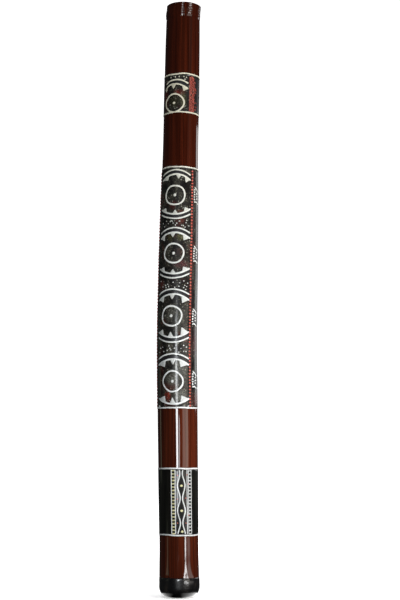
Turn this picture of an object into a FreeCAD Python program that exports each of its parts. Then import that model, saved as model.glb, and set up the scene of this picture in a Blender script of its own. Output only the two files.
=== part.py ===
import FreeCAD, Part
import Sketcher
import math
import os

# A bamboo didgeridoo. Millimetres and degrees. +Z is up, the bell end stands on z = 0,
# the origin is the middle of the bell opening. Azimuth 0 faces -Y and grows towards +X.

document = FreeCAD.newDocument("Didgeridoo")

# ---------------------------------------------------------------- driving dimensions

SHEET_NAME = "Dimensions"

# The culm measured at its stations: height above the bell end, outside radius.
STATIONS = [
    (20, 38.8),
    (50, 38.8),
    (80, 38.3),
    (140, 38.4),
    (200, 38.7),
    (300, 39.4),
    (400, 39.7),
    (500, 39.8),
    (600, 39.7),
    (700, 39.1),
    (800, 37.6),
    (900, 36.1),
    (1000, 35.9),
    (1100, 35.4),
    (1200, 34.2),
]

DIMENSIONS = {
    # the culm
    "culm_length": 1200,
    "bend_height": 500,
    "bend_offset": 8.5,
    "bend_softening": 0.94,
    "bell_rounding": 19,
    "bell_coat_foot": 1,
    "bell_coat_height": 39,
    "collar_height": 27,
    "collar_radius": 34.6,
    "ridge_ring_radius": 31.6,
    "ridge_radius": 4,
    "ridge_pitch": 5,
    "ridge_first_height": 1175.5,
    # the air column
    "bell_bore_radius": 17.5,
    "bell_bore_length": 30,
    "septum_bore_radius": 22,
    "septum_height_1": 170,
    "septum_height_2": 440,
    "septum_height_3": 710,
    "septum_height_4": 980,
    "septum_thickness": 10,
    "chamber_radius": 26,
    "mouth_bore_radius": 20,
    "mouth_bore_length": 40,
    # the wax mouthpiece
    "wax_bore_radius": 15,
    "wax_sleeve_depth": 22,
    "wax_lip_radius": 27,
    "wax_lip_height": 3,
    "wax_lip_rounding": 1.4,
    # paint layers
    "coat_thickness": 0.4,
    "relief_thickness": 0.4,
    "border_width": 2.8,
    "stroke_width": 3,
    "stencil_start": 15,
    "stencil_reach": 45,
    # the three painted bands, from border to border
    "mouth_band_bottom": 967,
    "mouth_band_top": 1047,
    "body_band_bottom": 369,
    "body_band_top": 853.5,
    "bell_band_bottom": 121.5,
    "bell_band_top": 250,
    # sun figures of the body band
    "sun_azimuth": -15,
    "sun_height_1": 795.5,
    "sun_height_2": 676,
    "sun_height_3": 551,
    "sun_height_4": 420.5,
    "sun_radius": 19.4,
    "sun_dot_radius": 2.9,
    "arc_radius": 49.5,
    "arc_sweep": 76,
    "upper_inner_rise": 43.5,
    "upper_outer_rise": 52.5,
    "lower_inner_drop": 41,
    "lower_outer_drop": 48.5,
    "cut_off_outer_drop": 57,
    "tooth_radius": 6,
    "tooth_spread": 21,
    "star_radius": 1,
    # sun figure of the mouth band
    "mouth_sun_azimuth": -24,
    "mouth_sun_height": 987,
    "mouth_sun_radius": 18.8,
    "mouth_arc_radius": 44,
    "mouth_arc_sweep": 80,
    "mouth_inner_rise": 39,
    "mouth_outer_rise": 47.5,
    "dash_azimuth": 40,
    "dash_length": 15,
    "dash_width": 1.9,
    "dash_pitch": 2.75,
    "dash_tilt": 12,
    # bead rows of the body band
    "bead_half_panel": 55,
    "bead_radius": 2.35,
    "bead_height": 0.9,
    "bead_pitch": 6.3,
    # side figures of the body band
    "figure_azimuth": 75,
    "figure_height": 30,
    "figure_width": 28,
    "figure_bar_width": 2.4,
    "figure_dot_radius": 1.5,
    "figure_dot_height": 0.7,
    "figure_dot_pitch": 5.6,
    # bell band
    "left_ladder_azimuth": -12,
    "right_ladder_azimuth": 36.5,
    "ladder_width": 9.6,
    "ladder_hole": 3.2,
    "ladder_pitch": 6.4,
    "divider_azimuth": 27.5,
    "divider_width": 1.6,
    "wave_azimuth": 12,
    "wave_spread": 5.2,
    "wave_swing": 2.7,
    "wave_length": 48.5,
    "wave_width": 2,
    "wave_wide_height": 217,
    "lens_dot_radius": 2.1,
    "mark_radius": 1.3,
}

sheet = document.addObject("Spreadsheet::Sheet", SHEET_NAME)


def write_cell(row, alias, value):
    """Put one named number in the sheet."""
    sheet.set(f"A{row}", alias)
    sheet.set(f"B{row}", str(value))
    sheet.setAlias(f"B{row}", alias)


for station, (height, radius) in enumerate(STATIONS, start=1):
    write_cell(2 * station - 1, f"station_height_{station}", height)
    write_cell(2 * station, f"culm_radius_{station}", radius)
for row, (alias, value) in enumerate(DIMENSIONS.items(), start=2 * len(STATIONS) + 1):
    write_cell(row, alias, value)
document.recompute()


def size(alias):
    """A driving dimension as a plain number."""
    return float(sheet.get(alias))


def cell(alias):
    """The same dimension as a reference for an expression."""
    return f"{SHEET_NAME}.{alias}"


# ---------------------------------------------------------------- where the culm runs

def bend_expression(height):
    """Sideways offset of the centre line: nothing at the two ends, most at the soft bend."""
    foot = cell("station_height_1")
    below = f"(({height}) - {foot}) / ({cell('bend_height')} - {foot})"
    above = f"({cell('culm_length')} - ({height})) / ({cell('culm_length')} - {cell('bend_height')})"
    return f"-{cell('bend_offset')} * min({below}; {above}; {cell('bend_softening')})"


def bend_at_station(height):
    """The same offset as a number."""
    foot = size("station_height_1")
    below = (height - foot) / (size("bend_height") - foot)
    above = (size("culm_length") - height) / (size("culm_length") - size("bend_height"))
    return -size("bend_offset") * min(below, above, size("bend_softening"))


def smooth_line(values):
    """A smooth curve of one measure against height, through the culm's stations."""
    curve = Part.BSplineCurve()
    curve.interpolate([FreeCAD.Vector(height, value, 0) for height, value in values])
    return curve


radius_line = smooth_line(STATIONS)
bend_line = smooth_line([(height, bend_at_station(height)) for height, radius in STATIONS])
MEAN_RADIUS = sum(radius for height, radius in STATIONS) / len(STATIONS)


def culm_radius(height):
    """Outside radius of the bare culm."""
    return radius_line.value(radius_line.parameter(FreeCAD.Vector(height, MEAN_RADIUS, 0))).y


def culm_bend(height):
    """X of the culm's centre line."""
    return bend_line.value(bend_line.parameter(FreeCAD.Vector(height, 0, 0))).y


def radial_placement(azimuth, height, distance):
    """A placement this far from the centre line, its own Z straight outwards and its own Y up."""
    turn = FreeCAD.Rotation(FreeCAD.Vector(0, 0, 1), azimuth)
    tip = FreeCAD.Rotation(FreeCAD.Vector(1, 0, 0), 90)
    angle = math.radians(azimuth)
    point = FreeCAD.Vector(
        culm_bend(height) + distance * math.sin(angle),
        -distance * math.cos(angle),
        height,
    )
    return FreeCAD.Placement(point, turn * tip)


# ---------------------------------------------------------------- small builders

FLAT = 0.001
RIGHT_ANGLE = 90
CENTRE_POINT = 3
ROOT_POINT = -1
UNBOUND_RADIUS = 10

sub_parts = []


def keep(piece, label):
    """Name a finished sub-part; its label is its file's name."""
    piece.Label = label
    sub_parts.append(piece)
    return piece


def origin_plane(body, role):
    """One of a body's own origin planes."""
    return next(plane for plane in body.Origin.OriginFeatures if plane.Role == role)


def circle_sketch(body, name, height, bend, radius):
    """A level circle on the centre line; height, bend and radius are expressions."""
    sketch = body.newObject("Sketcher::SketchObject", name)
    sketch.AttachmentSupport = [(origin_plane(body, "XY_Plane"), "")]
    sketch.MapMode = "FlatFace"
    sketch.setExpression("AttachmentOffset.Base.z", height)
    sketch.setExpression("AttachmentOffset.Base.x", bend)
    outline = Part.Circle(FreeCAD.Vector(0, 0, 0), FreeCAD.Vector(0, 0, 1), UNBOUND_RADIUS)
    circle = sketch.addGeometry(outline)
    sketch.addConstraint(Sketcher.Constraint("Coincident", circle, CENTRE_POINT, ROOT_POINT, 1))
    sketch.addConstraint(Sketcher.Constraint("Radius", circle, UNBOUND_RADIUS))
    sketch.renameConstraint(1, "radius")
    sketch.setExpression("Constraints.radius", radius)
    return sketch


def loft_through(body, name, sketches):
    """Add one smooth length of round section through level circles."""
    loft = body.newObject("PartDesign::AdditiveLoft", name)
    loft.Profile = sketches[0]
    loft.Sections = sketches[1:]
    body.Tip = loft
    return loft


def loft_between(body, name, heights, radius):
    """Add a round length along the centre line through the given heights (expressions)."""
    sketches = [
        circle_sketch(body, f"{name}Station{number}", height, bend_expression(height), radius)
        for number, height in enumerate(heights, start=1)
    ]
    return loft_through(body, name, sketches)


def pad_between(body, name, low, high, radius):
    """Add a straight round length on the origin's axis; all three sizes are expressions."""
    sketch = circle_sketch(body, name + "Sketch", low, "0", radius)
    pad = body.newObject("PartDesign::Pad", name)
    pad.Profile = sketch
    pad.setExpression("Length", f"({high}) - ({low})")
    body.Tip = pad
    return pad


def culm_body(name, proud):
    """A body that follows the culm, with its surface raised by the given expression.

    A short straight foot with its lower edge rounded, then one smooth loft."""
    body = document.addObject("PartDesign::Body", name)
    foot = pad_between(
        body, name + "Foot", "0", cell("station_height_1"), f"{cell('culm_radius_1')} + {proud}"
    )
    document.recompute()
    lower_edges = [
        f"Edge{number}"
        for number, edge in enumerate(foot.Shape.Edges, start=1)
        if edge.BoundBox.ZMax < FLAT
    ]
    rounding = body.newObject("PartDesign::Fillet", name + "FootRounding")
    rounding.Base = (foot, lower_edges)
    rounding.setExpression("Radius", cell("bell_rounding"))
    body.Tip = rounding
    sketches = []
    for station in range(1, len(STATIONS) + 1):
        height = cell(f"station_height_{station}")
        radius = f"{cell(f'culm_radius_{station}')} + {proud}"
        sketch = circle_sketch(body, f"{name}Station{station}", height, bend_expression(height), radius)
        sketches.append(sketch)
    loft_through(body, name + "Loft", sketches)
    return body


def slab(name, low, high):
    """A round block wider than the culm between two heights given as expressions."""
    block = document.addObject("Part::Cylinder", name)
    block.setExpression("Radius", f"2 * {cell('culm_radius_1')}")
    block.setExpression("Height", f"({high}) - ({low})")
    block.setExpression("Placement.Base.z", low)
    return block


def boolean(kind, name, base, tool):
    """A Part boolean of two objects."""
    result = document.addObject(f"Part::{kind}", name)
    result.Base = base
    result.Tool = tool
    return result


def compound(name, pieces):
    """Several separate solids held as one object."""
    result = document.addObject("Part::Compound", name)
    result.Links = pieces
    return result


# ---------------------------------------------------------------- the culm

culm_blank = culm_body("CulmBlank", "0")
ground_skin = culm_body("GroundSkin", cell("coat_thickness"))
paint_skin = culm_body("PaintSkin", f"{cell('coat_thickness')} + {cell('relief_thickness')}")


SEPTA = 4
STRAIGHT_END = 1

air_column = document.addObject("PartDesign::Body", "AirColumn")
mouth_chamber_end = f"{cell('culm_length')} - {cell('mouth_bore_length')}"
chamber_starts = [cell("bell_bore_length")]
chamber_ends = []
for septum in range(1, SEPTA + 1):
    chamber_ends.append(f"{cell(f'septum_height_{septum}')} - {cell('septum_thickness')} / 2")
    chamber_starts.append(f"{cell(f'septum_height_{septum}')} + {cell('septum_thickness')} / 2")
chamber_ends.append(mouth_chamber_end)

FIRST_BORE_STATION = 3
bore_heights = [cell("bell_bore_length")]
for station in range(FIRST_BORE_STATION, len(STATIONS)):
    bore_heights.append(cell(f"station_height_{station}"))
bore_heights.append(mouth_chamber_end)
loft_between(air_column, "SeptumBore", bore_heights, cell("septum_bore_radius"))
for number, (start, end) in enumerate(zip(chamber_starts, chamber_ends), start=1):
    middle = f"(({start}) + ({end})) / 2"
    loft_between(air_column, f"Chamber{number}", [start, middle, end], cell("chamber_radius"))
pad_between(
    air_column,
    "BellBore",
    f"-{STRAIGHT_END}",
    cell("bell_bore_length"),
    cell("bell_bore_radius"),
)
pad_between(
    air_column,
    "MouthBore",
    mouth_chamber_end,
    f"{cell('culm_length')} + {STRAIGHT_END}",
    cell("mouth_bore_radius"),
)

# The node at the mouth stands out as a collar of soft rings.
RIDGES = 5
pad_between(
    culm_blank,
    "Collar",
    f"{cell('culm_length')} - {cell('collar_height')}",
    cell("culm_length"),
    cell("collar_radius"),
)
ridges = []
for number in range(RIDGES):
    ridge = document.addObject("Part::Torus", f"Ridge{number + 1}")
    ridge.setExpression("Radius1", cell("ridge_ring_radius"))
    ridge.setExpression("Radius2", cell("ridge_radius"))
    ridge.setExpression(
        "Placement.Base.z", f"{cell('ridge_first_height')} + {number} * {cell('ridge_pitch')}"
    )
    ridges.append(ridge)
culm_outside = document.addObject("Part::MultiFuse", "CulmOutside")
culm_outside.Shapes = [culm_blank] + ridges
keep(boolean("Cut", "Culm", culm_outside, air_column), "culm")


# ---------------------------------------------------------------- the wax mouthpiece

mouthpiece = document.addObject("PartDesign::Body", "Mouthpiece")
sleeve_foot = f"{cell('culm_length')} - {cell('wax_sleeve_depth')}"
lip_top = f"{cell('culm_length')} + {cell('wax_lip_height')}"
pad_between(mouthpiece, "Sleeve", sleeve_foot, cell("culm_length"), cell("mouth_bore_radius"))
pad_between(mouthpiece, "Lip", cell("culm_length"), lip_top, cell("wax_lip_radius"))
hole_sketch = circle_sketch(mouthpiece, "WaxBoreSketch", lip_top, "0", cell("wax_bore_radius"))
wax_bore = mouthpiece.newObject("PartDesign::Pocket", "WaxBore")
wax_bore.Profile = hole_sketch
wax_bore.Type = "ThroughAll"
mouthpiece.Tip = wax_bore
document.recompute()
lip_edges = [
    f"Edge{number}"
    for number, edge in enumerate(wax_bore.Shape.Edges, start=1)
    if edge.BoundBox.ZMin > size("culm_length") + size("wax_lip_height") - FLAT
]
lip_rounding = mouthpiece.newObject("PartDesign::Fillet", "LipRounding")
lip_rounding.Base = (wax_bore, lip_edges)
lip_rounding.setExpression("Radius", cell("wax_lip_rounding"))
mouthpiece.Tip = lip_rounding
keep(mouthpiece, "mouthpiece")


# ---------------------------------------------------------------- lacquer and ground coats

bell_coat_slab = slab("BellCoatSlab", cell("bell_coat_foot"), cell("bell_coat_height"))
bell_coat_solid = boolean("Common", "BellCoatSolid", ground_skin, bell_coat_slab)
keep(boolean("Cut", "BellCoat", bell_coat_solid, culm_blank), "bell_coat")

BANDS = ("mouth", "body", "bell")
paint_shells = {}
for band in BANDS:
    half_line = f"{cell('border_width')} / 2"
    low = f"{cell(f'{band}_band_bottom')} + {half_line}"
    high = f"{cell(f'{band}_band_top')} - {half_line}"
    band_slab = slab(f"{band}_slab", low, high)
    ground_solid = boolean("Common", f"{band}_ground_solid", ground_skin, band_slab)
    keep(boolean("Cut", f"{band}_ground_coat", ground_solid, culm_blank), f"{band}_ground")
    paint_solid = boolean("Common", f"{band}_paint_solid", paint_skin, band_slab)
    paint_shells[band] = boolean("Cut", f"{band}_paint_shell", paint_solid, ground_skin)
    for edge in ("bottom", "top"):
        line_height = cell(f"{band}_band_{edge}")
        line_slab = slab(
            f"{band}_{edge}_slab", f"{line_height} - {half_line}", f"{line_height} + {half_line}"
        )
        line_solid = boolean("Common", f"{band}_{edge}_solid", paint_skin, line_slab)
        keep(boolean("Cut", f"{band}_{edge}_border", line_solid, culm_blank), f"{band}_{edge}_line")


# ---------------------------------------------------------------- stencils
# A painted figure is the paint shell seen through a stencil: a block that points
# straight out of the culm. Its own X runs round the culm, its own Y up.

def place_stencil(block, azimuth, height, across=0, up=0, spin=0):
    """Stand a stencil block at an azimuth, moved sideways and up in its own plane."""
    shift = FreeCAD.Placement(FreeCAD.Vector(across, up, 0), FreeCAD.Rotation())
    roll = FreeCAD.Placement(FreeCAD.Vector(), FreeCAD.Rotation(FreeCAD.Vector(0, 0, 1), spin))
    block.Placement = radial_placement(azimuth, height, size("stencil_start")) * shift * roll
    return block


def disc_stencil(name, azimuth, height, radius):
    """A round stencil; the radius is an expression."""
    block = document.addObject("Part::Cylinder", name)
    block.setExpression("Radius", radius)
    block.setExpression("Height", cell("stencil_reach"))
    return place_stencil(block, azimuth, height)


def ring_stencil(name, azimuth, height, radius):
    """A ring one stroke wide about a middle radius."""
    half = f"{cell('stroke_width')} / 2"
    outer = disc_stencil(name + "Outer", azimuth, height, f"{radius} + {half}")
    inner = disc_stencil(name + "Inner", azimuth, height, f"{radius} - {half}")
    return boolean("Cut", name, outer, inner)


def arc_stencil(name, azimuth, apex, side, radius, sweep):
    """An arc one stroke wide whose apex points up (side 1) or down (side -1)."""
    half = f"{cell('stroke_width')} / 2"
    centre = apex - side * size(radius)
    outer = disc_stencil(name + "Outer", azimuth, centre, f"{cell(radius)} + {half}")
    outer.setExpression("Angle", cell(sweep))
    place_stencil(outer, azimuth, centre, spin=side * RIGHT_ANGLE - size(sweep) / 2)
    inner = disc_stencil(name + "Inner", azimuth, centre, f"{cell(radius)} - {half}")
    return boolean("Cut", name, outer, inner)


def tooth_stencil(name, azimuth, apex, side, radius, across):
    """A three-sided tooth that points from its arc towards the sun."""
    tooth = document.addObject("Part::Prism", name)
    tooth.Polygon = 3
    tooth.setExpression("Circumradius", cell("tooth_radius"))
    tooth.setExpression("Height", cell("stencil_reach"))
    drop = size(radius) - math.sqrt(size(radius) ** 2 - across ** 2)
    up = -side * (drop + size("tooth_radius") / 2)
    return place_stencil(tooth, azimuth, apex, across, up, spin=-side * RIGHT_ANGLE)


def toothed_arc(name, azimuth, apex, side, radius, sweep):
    """An arc with three teeth on its inner side."""
    pieces = [arc_stencil(name + "Arc", azimuth, apex, side, radius, sweep)]
    for number, place in enumerate((-1, 0, 1), start=1):
        across = place * size("tooth_spread")
        pieces.append(tooth_stencil(f"{name}Tooth{number}", azimuth, apex, side, radius, across))
    fused = document.addObject("Part::MultiFuse", name)
    fused.Shapes = pieces
    return fused


def box_stencil(name, azimuth, height, width, tall, across=0, up=0, spin=0):
    """A four-sided stencil about its own middle; width and height are expressions."""
    block = document.addObject("Part::Box", name)
    block.setExpression("Length", width)
    block.setExpression("Width", tall)
    block.setExpression("Height", cell("stencil_reach"))
    block.recompute()
    place_stencil(block, azimuth, height, across, up, spin)
    middle = FreeCAD.Placement(
        FreeCAD.Vector(-block.Length.Value / 2, -block.Width.Value / 2, 0), FreeCAD.Rotation()
    )
    block.Placement = block.Placement * middle
    return block


def paint(label, band, stencils):
    """Cut one kind of figure out of a band's paint shell and keep it as a sub-part."""
    mask = compound(label + "_mask", stencils)
    keep(boolean("Common", label + "_paint", paint_shells[band], mask), label)


def dots(label, places, radius, height):
    """Domes of paint that sit on the ground coat, at (azimuth, height) places."""
    ball_radius = (radius ** 2 + height ** 2) / (2 * height)
    balls = []
    for azimuth, level in places:
        depth = culm_radius(level) + size("coat_thickness") + height - ball_radius
        ball = Part.makeSphere(ball_radius)
        ball.Placement = radial_placement(azimuth, level, depth)
        balls.append(ball)
    feature = document.addObject("Part::Feature", label + "_domes")
    feature.Shape = Part.makeCompound(balls).cut(ground_skin.Shape)
    feature.Placement = FreeCAD.Placement()
    return feature


PANELS = {"front": 0, "back": 180}

# ---------------------------------------------------------------- body band: suns and arcs

SUNS = 4
# Small dots scattered in each gap between two suns: azimuth from the panel's middle, rise.
STARS = [
    (-32, 0), (-22, -3), (-15, 1), (-8, -4), (2, 4), (9, -1), (21, -5), (27, 1), (33, 5), (36, -2), (42, 3),
]

for side, turn in PANELS.items():
    azimuth = size("sun_azimuth") + turn
    rings = []
    centres = []
    toothed = []
    plain = []
    for sun in range(1, SUNS + 1):
        height = size(f"sun_height_{sun}")
        name = f"body_{side}_sun{sun}"
        is_lowest = sun == SUNS
        outer_drop = size("cut_off_outer_drop") if is_lowest else size("lower_outer_drop")
        rings.append(ring_stencil(name + "_ring", azimuth, height, cell("sun_radius")))
        centres.append((azimuth, height))
        toothed.append(toothed_arc(
            name + "_upper", azimuth, height + size("upper_inner_rise"), 1, "arc_radius", "arc_sweep"
        ))
        toothed.append(toothed_arc(
            name + "_lower", azimuth, height - size("lower_inner_drop"), -1, "arc_radius", "arc_sweep"
        ))
        plain.append(arc_stencil(
            name + "_over", azimuth, height + size("upper_outer_rise"), 1, "arc_radius", "arc_sweep"
        ))
        plain.append(arc_stencil(
            name + "_under", azimuth, height - outer_drop, -1, "arc_radius", "arc_sweep"
        ))
    paint(f"body_{side}_sun_rings", "body", rings)
    paint(f"body_{side}_toothed_arcs", "body", toothed)
    paint(f"body_{side}_plain_arcs", "body", plain)
    label = f"body_{side}_sun_dots"
    keep(dots(label, centres, size("sun_dot_radius"), size("bead_height")), label)
    stars = []
    for sun in range(1, SUNS):
        gap = (size(f"sun_height_{sun}") + size(f"sun_height_{sun + 1}")) / 2
        stars += [(azimuth + around, gap + rise) for around, rise in STARS]
    label = f"body_{side}_stars"
    keep(dots(label, stars, size("star_radius"), size("relief_thickness")), label)

# ---------------------------------------------------------------- body band: bead rows

bead_start = size("body_band_bottom") + size("bead_pitch") / 2
bead_end = size("body_band_top") - size("bead_pitch") / 2
bead_count = int((bead_end - bead_start) / size("bead_pitch")) + 1
for side, turn in PANELS.items():
    for hand, step in (("left", -1), ("right", 1)):
        azimuth = size("sun_azimuth") + turn + step * size("bead_half_panel")
        places = [(azimuth, bead_start + number * size("bead_pitch")) for number in range(bead_count)]
        label = f"beads_{side}_{hand}"
        keep(dots(label, places, size("bead_radius"), size("bead_height")), label)

# ---------------------------------------------------------------- body band: side figures

# A figure is two level bars joined by columns of dots: azimuth step, number of dots.
FIGURE_COLUMNS = [(-20, 4), (-10, 3), (10, 3), (20, 4)]

for hand, turn in (("right", 0), ("left", 180)):
    azimuth = size("figure_azimuth") + turn
    bars = []
    figure_dots = []
    for sun in range(1, SUNS + 1):
        height = size(f"sun_height_{sun}") + size("sun_dot_radius")
        for place in (-1, 1):
            bar = box_stencil(
                f"figure_{hand}_{sun}_bar{place + 1}",
                azimuth,
                height,
                cell("figure_width"),
                cell("figure_bar_width"),
                up=place * size("figure_height") / 2,
            )
            bars.append(bar)
        for around, count in FIGURE_COLUMNS:
            for number in range(count):
                rise = (number - (count - 1) / 2) * size("figure_dot_pitch")
                figure_dots.append((azimuth + around, height + rise))
    paint(f"side_figure_bars_{hand}", "body", bars)
    label = f"side_figure_dots_{hand}"
    keep(dots(label, figure_dots, size("figure_dot_radius"), size("figure_dot_height")), label)

# ---------------------------------------------------------------- mouth band

# A row of dots under the top line: azimuth from the sun's middle, height.
MOUTH_STARS = [(-11, 1041), (5, 1041), (17, 1041), (31, 1041), (40, 1040), (36, 1036)]
DASH_MARGIN = 3

for side, turn in PANELS.items():
    azimuth = size("mouth_sun_azimuth") + turn
    height = size("mouth_sun_height")
    paint(
        f"mouth_{side}_sun_ring",
        "mouth",
        [ring_stencil(f"mouth_{side}_ring", azimuth, height, cell("mouth_sun_radius"))],
    )
    inner = toothed_arc(
        f"mouth_{side}_inner_arc",
        azimuth,
        height + size("mouth_inner_rise"),
        1,
        "mouth_arc_radius",
        "mouth_arc_sweep",
    )
    outer = arc_stencil(
        f"mouth_{side}_outer_arc",
        azimuth,
        height + size("mouth_outer_rise"),
        1,
        "mouth_arc_radius",
        "mouth_arc_sweep",
    )
    paint(f"mouth_{side}_arcs", "mouth", [inner, outer])
    star_places = [(azimuth + around, level) for around, level in MOUTH_STARS]
    star_places.append((azimuth, height))
    label = f"mouth_{side}_stars"
    keep(dots(label, star_places, size("figure_dot_radius"), size("figure_dot_height")), label)
    dash_bottom = size("mouth_band_bottom") + DASH_MARGIN + size("dash_pitch") / 2
    dash_room = size("mouth_band_top") - DASH_MARGIN - dash_bottom
    dashes = [
        box_stencil(
            f"mouth_{side}_dash{number}",
            size("dash_azimuth") + turn,
            dash_bottom + number * size("dash_pitch"),
            cell("dash_length"),
            cell("dash_width"),
            spin=-size("dash_tilt"),
        )
        for number in range(int(dash_room / size("dash_pitch")))
    ]
    paint(f"mouth_{side}_dashes", "mouth", dashes)

# ---------------------------------------------------------------- bell band

POINTS_PER_WAVE = 8
# Red marks beside the waves: azimuth, height.
RED_MARKS = [(-1, 237), (-2, 191), (-2, 145), (26, 238), (22.5, 193), (22.5, 145)]


def wave_stencil(name, azimuth, mirror):
    """A line that swings to and fro as it climbs, one wave line wide."""
    bottom = size("bell_band_bottom")
    top = size("bell_band_top")
    steps = POINTS_PER_WAVE * math.ceil((top - bottom) / size("wave_length"))
    edges = []
    for offset in (-size("wave_width") / 2, size("wave_width") / 2):
        points = []
        for step in range(steps + 1):
            level = bottom + (top - bottom) * step / steps
            phase = 2 * math.pi * (level - size("wave_wide_height")) / size("wave_length")
            across = mirror * (size("wave_spread") + size("wave_swing") * math.cos(phase))
            points.append(FreeCAD.Vector(across + offset, level - bottom, 0))
        curve = Part.BSplineCurve()
        curve.interpolate(points)
        edges.append(curve.toShape())
    first, second = edges
    ends = [
        Part.makeLine(first.Vertexes[end].Point, second.Vertexes[end].Point) for end in (0, 1)
    ]
    outline = Part.Wire(Part.__sortEdges__([first, second] + ends))
    block = Part.Face(outline).extrude(FreeCAD.Vector(0, 0, size("stencil_reach")))
    feature = document.addObject("Part::Feature", name)
    feature.Shape = block
    return place_stencil(feature, azimuth, bottom)


def ladder_stencil(name, azimuth):
    """An upright strip with a column of square holes."""
    band_height = f"({cell('bell_band_top')} - {cell('bell_band_bottom')})"
    middle = (size("bell_band_top") + size("bell_band_bottom")) / 2
    strip = box_stencil(name + "Strip", azimuth, middle, cell("ladder_width"), band_height)
    count = int((size("bell_band_top") - size("bell_band_bottom")) / size("ladder_pitch")) - 1
    holes = []
    for number in range(count):
        level = middle + (number - (count - 1) / 2) * size("ladder_pitch")
        hole = box_stencil(
            f"{name}Hole{number}", azimuth, level, cell("ladder_hole"), cell("ladder_hole")
        )
        holes.append(hole)
    return boolean("Cut", name, strip, compound(name + "Holes", holes))


for side, turn in PANELS.items():
    ladders = [
        ladder_stencil(f"bell_{side}_{hand}_ladder", size(f"{hand}_ladder_azimuth") + turn)
        for hand in ("left", "right")
    ]
    paint(f"bell_{side}_ladders", "bell", ladders)
    divider = box_stencil(
        f"bell_{side}_divider_stencil",
        size("divider_azimuth") + turn,
        (size("bell_band_top") + size("bell_band_bottom")) / 2,
        cell("divider_width"),
        f"({cell('bell_band_top')} - {cell('bell_band_bottom')})",
    )
    waves = [
        wave_stencil(f"bell_{side}_wave{mirror + 1}", size("wave_azimuth") + turn, mirror)
        for mirror in (-1, 1)
    ]
    paint(f"bell_{side}_waves", "bell", waves)
    paint(f"bell_{side}_divider", "bell", [divider])
    lens_heights = [size("wave_wide_height") - number * size("wave_length") for number in (0, 1)]
    lens_heights.append(size("bell_band_bottom") + size("ladder_pitch"))
    lens_places = [(size("wave_azimuth") + turn, level) for level in lens_heights]
    label = f"bell_{side}_lens_dots"
    keep(dots(label, lens_places, size("lens_dot_radius"), size("relief_thickness")), label)
    mark_places = [(azimuth + turn, level) for azimuth, level in RED_MARKS]
    label = f"bell_{side}_red_marks"
    keep(dots(label, mark_places, size("mark_radius"), size("relief_thickness")), label)


# ---------------------------------------------------------------- check and write

document.recompute()
failed = [item.Name for item in document.Objects if {"Invalid", "Error"} & set(item.State)]
if failed:
    raise RuntimeError(f"failed objects: {failed}")
for sub_part in sub_parts:
    if sub_part.Shape.isNull() or not sub_part.Shape.isValid():
        raise RuntimeError(f"bad shape: {sub_part.Label}")
    if not sub_part.Shape.Solids:
        raise RuntimeError(f"no solid: {sub_part.Label}")

os.makedirs("parts", exist_ok=True)
for sub_part in sub_parts:
    sub_part.Shape.exportStep(f"parts/{sub_part.Label}.step")
    volume = sub_part.Shape.Volume
    print(f"{sub_part.Label}: {len(sub_part.Shape.Solids)} solids, {volume:.0f} mm3")
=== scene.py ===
import bpy
import bmesh
import math
import numpy as np
from mathutils import Matrix, Vector, noise


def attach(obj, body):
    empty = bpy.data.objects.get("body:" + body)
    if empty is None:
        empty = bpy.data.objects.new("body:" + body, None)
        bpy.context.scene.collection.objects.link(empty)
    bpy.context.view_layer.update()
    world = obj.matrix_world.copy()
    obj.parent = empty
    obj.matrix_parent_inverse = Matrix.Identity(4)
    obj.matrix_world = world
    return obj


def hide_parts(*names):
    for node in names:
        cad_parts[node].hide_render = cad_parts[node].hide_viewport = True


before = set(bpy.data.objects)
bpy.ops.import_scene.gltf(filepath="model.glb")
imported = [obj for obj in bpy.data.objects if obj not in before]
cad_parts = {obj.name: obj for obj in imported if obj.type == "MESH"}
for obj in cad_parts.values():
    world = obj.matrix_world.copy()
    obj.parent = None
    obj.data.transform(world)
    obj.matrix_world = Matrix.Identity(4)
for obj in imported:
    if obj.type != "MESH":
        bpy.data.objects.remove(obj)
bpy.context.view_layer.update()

# ======================================================================= culm
# One length of bamboo, cut just below a node at the bell and just above one at the mouth, its
# septa bored through. It is stained red-brown under clear varnish, and has one soft bend.
# All sizes here are millimetres and degrees; azimuth 0 faces -Y and grows towards +X.

MM = 0.001
CULM_LENGTH = 1200
CULM_STATIONS = [
    (0, 39.4), (20, 39.4), (50, 39.4), (80, 38.9), (140, 39.0), (200, 39.3), (300, 39.9), (400, 40.0),
    (500, 39.9), (600, 39.7), (700, 39.1), (800, 37.6), (900, 36.1), (1000, 35.9), (1100, 35.4),
    (1200, 34.2),
]
BEND_HEIGHT = 500
BEND_OFFSET = 8.5
BEND_SOFTENING = 0.94
FOOT_HEIGHT = 20
FOOT_ROUNDING = 19
SEPTUM_HEIGHTS = (170, 440, 710, 980)
OUT_OF_ROUND = 0.25
OVAL_TWIST = 260
HAND_SANDED = 0.18
SANDED_LENGTH = 90


def smooth_curve(stations):
    """A natural cubic through (height, value) stations, read back once a millimetre."""
    heights = np.array([height for height, value in stations], float)
    values = np.array([value for height, value in stations], float)
    steps = np.diff(heights)
    count = len(heights)
    system = np.eye(count)
    slopes = np.zeros(count)
    for inner in range(1, count - 1):
        system[inner, inner - 1] = steps[inner - 1]
        system[inner, inner] = 2 * (steps[inner - 1] + steps[inner])
        system[inner, inner + 1] = steps[inner]
        change = np.diff(values)[inner] / steps[inner] - np.diff(values)[inner - 1] / steps[inner - 1]
        slopes[inner] = 6 * change
    curvature = np.linalg.solve(system, slopes)
    read = []
    for height in range(CULM_LENGTH + 1):
        span = min(max(int(np.searchsorted(heights, height, "right")) - 1, 0), count - 2)
        above = (height - heights[span]) / steps[span]
        below = 1 - above
        straight = below * values[span] + above * values[span + 1]
        low_part = (below ** 3 - below) * curvature[span]
        high_part = (above ** 3 - above) * curvature[span + 1]
        read.append(float(straight + (low_part + high_part) * steps[span] ** 2 / 6))
    return read


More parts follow.
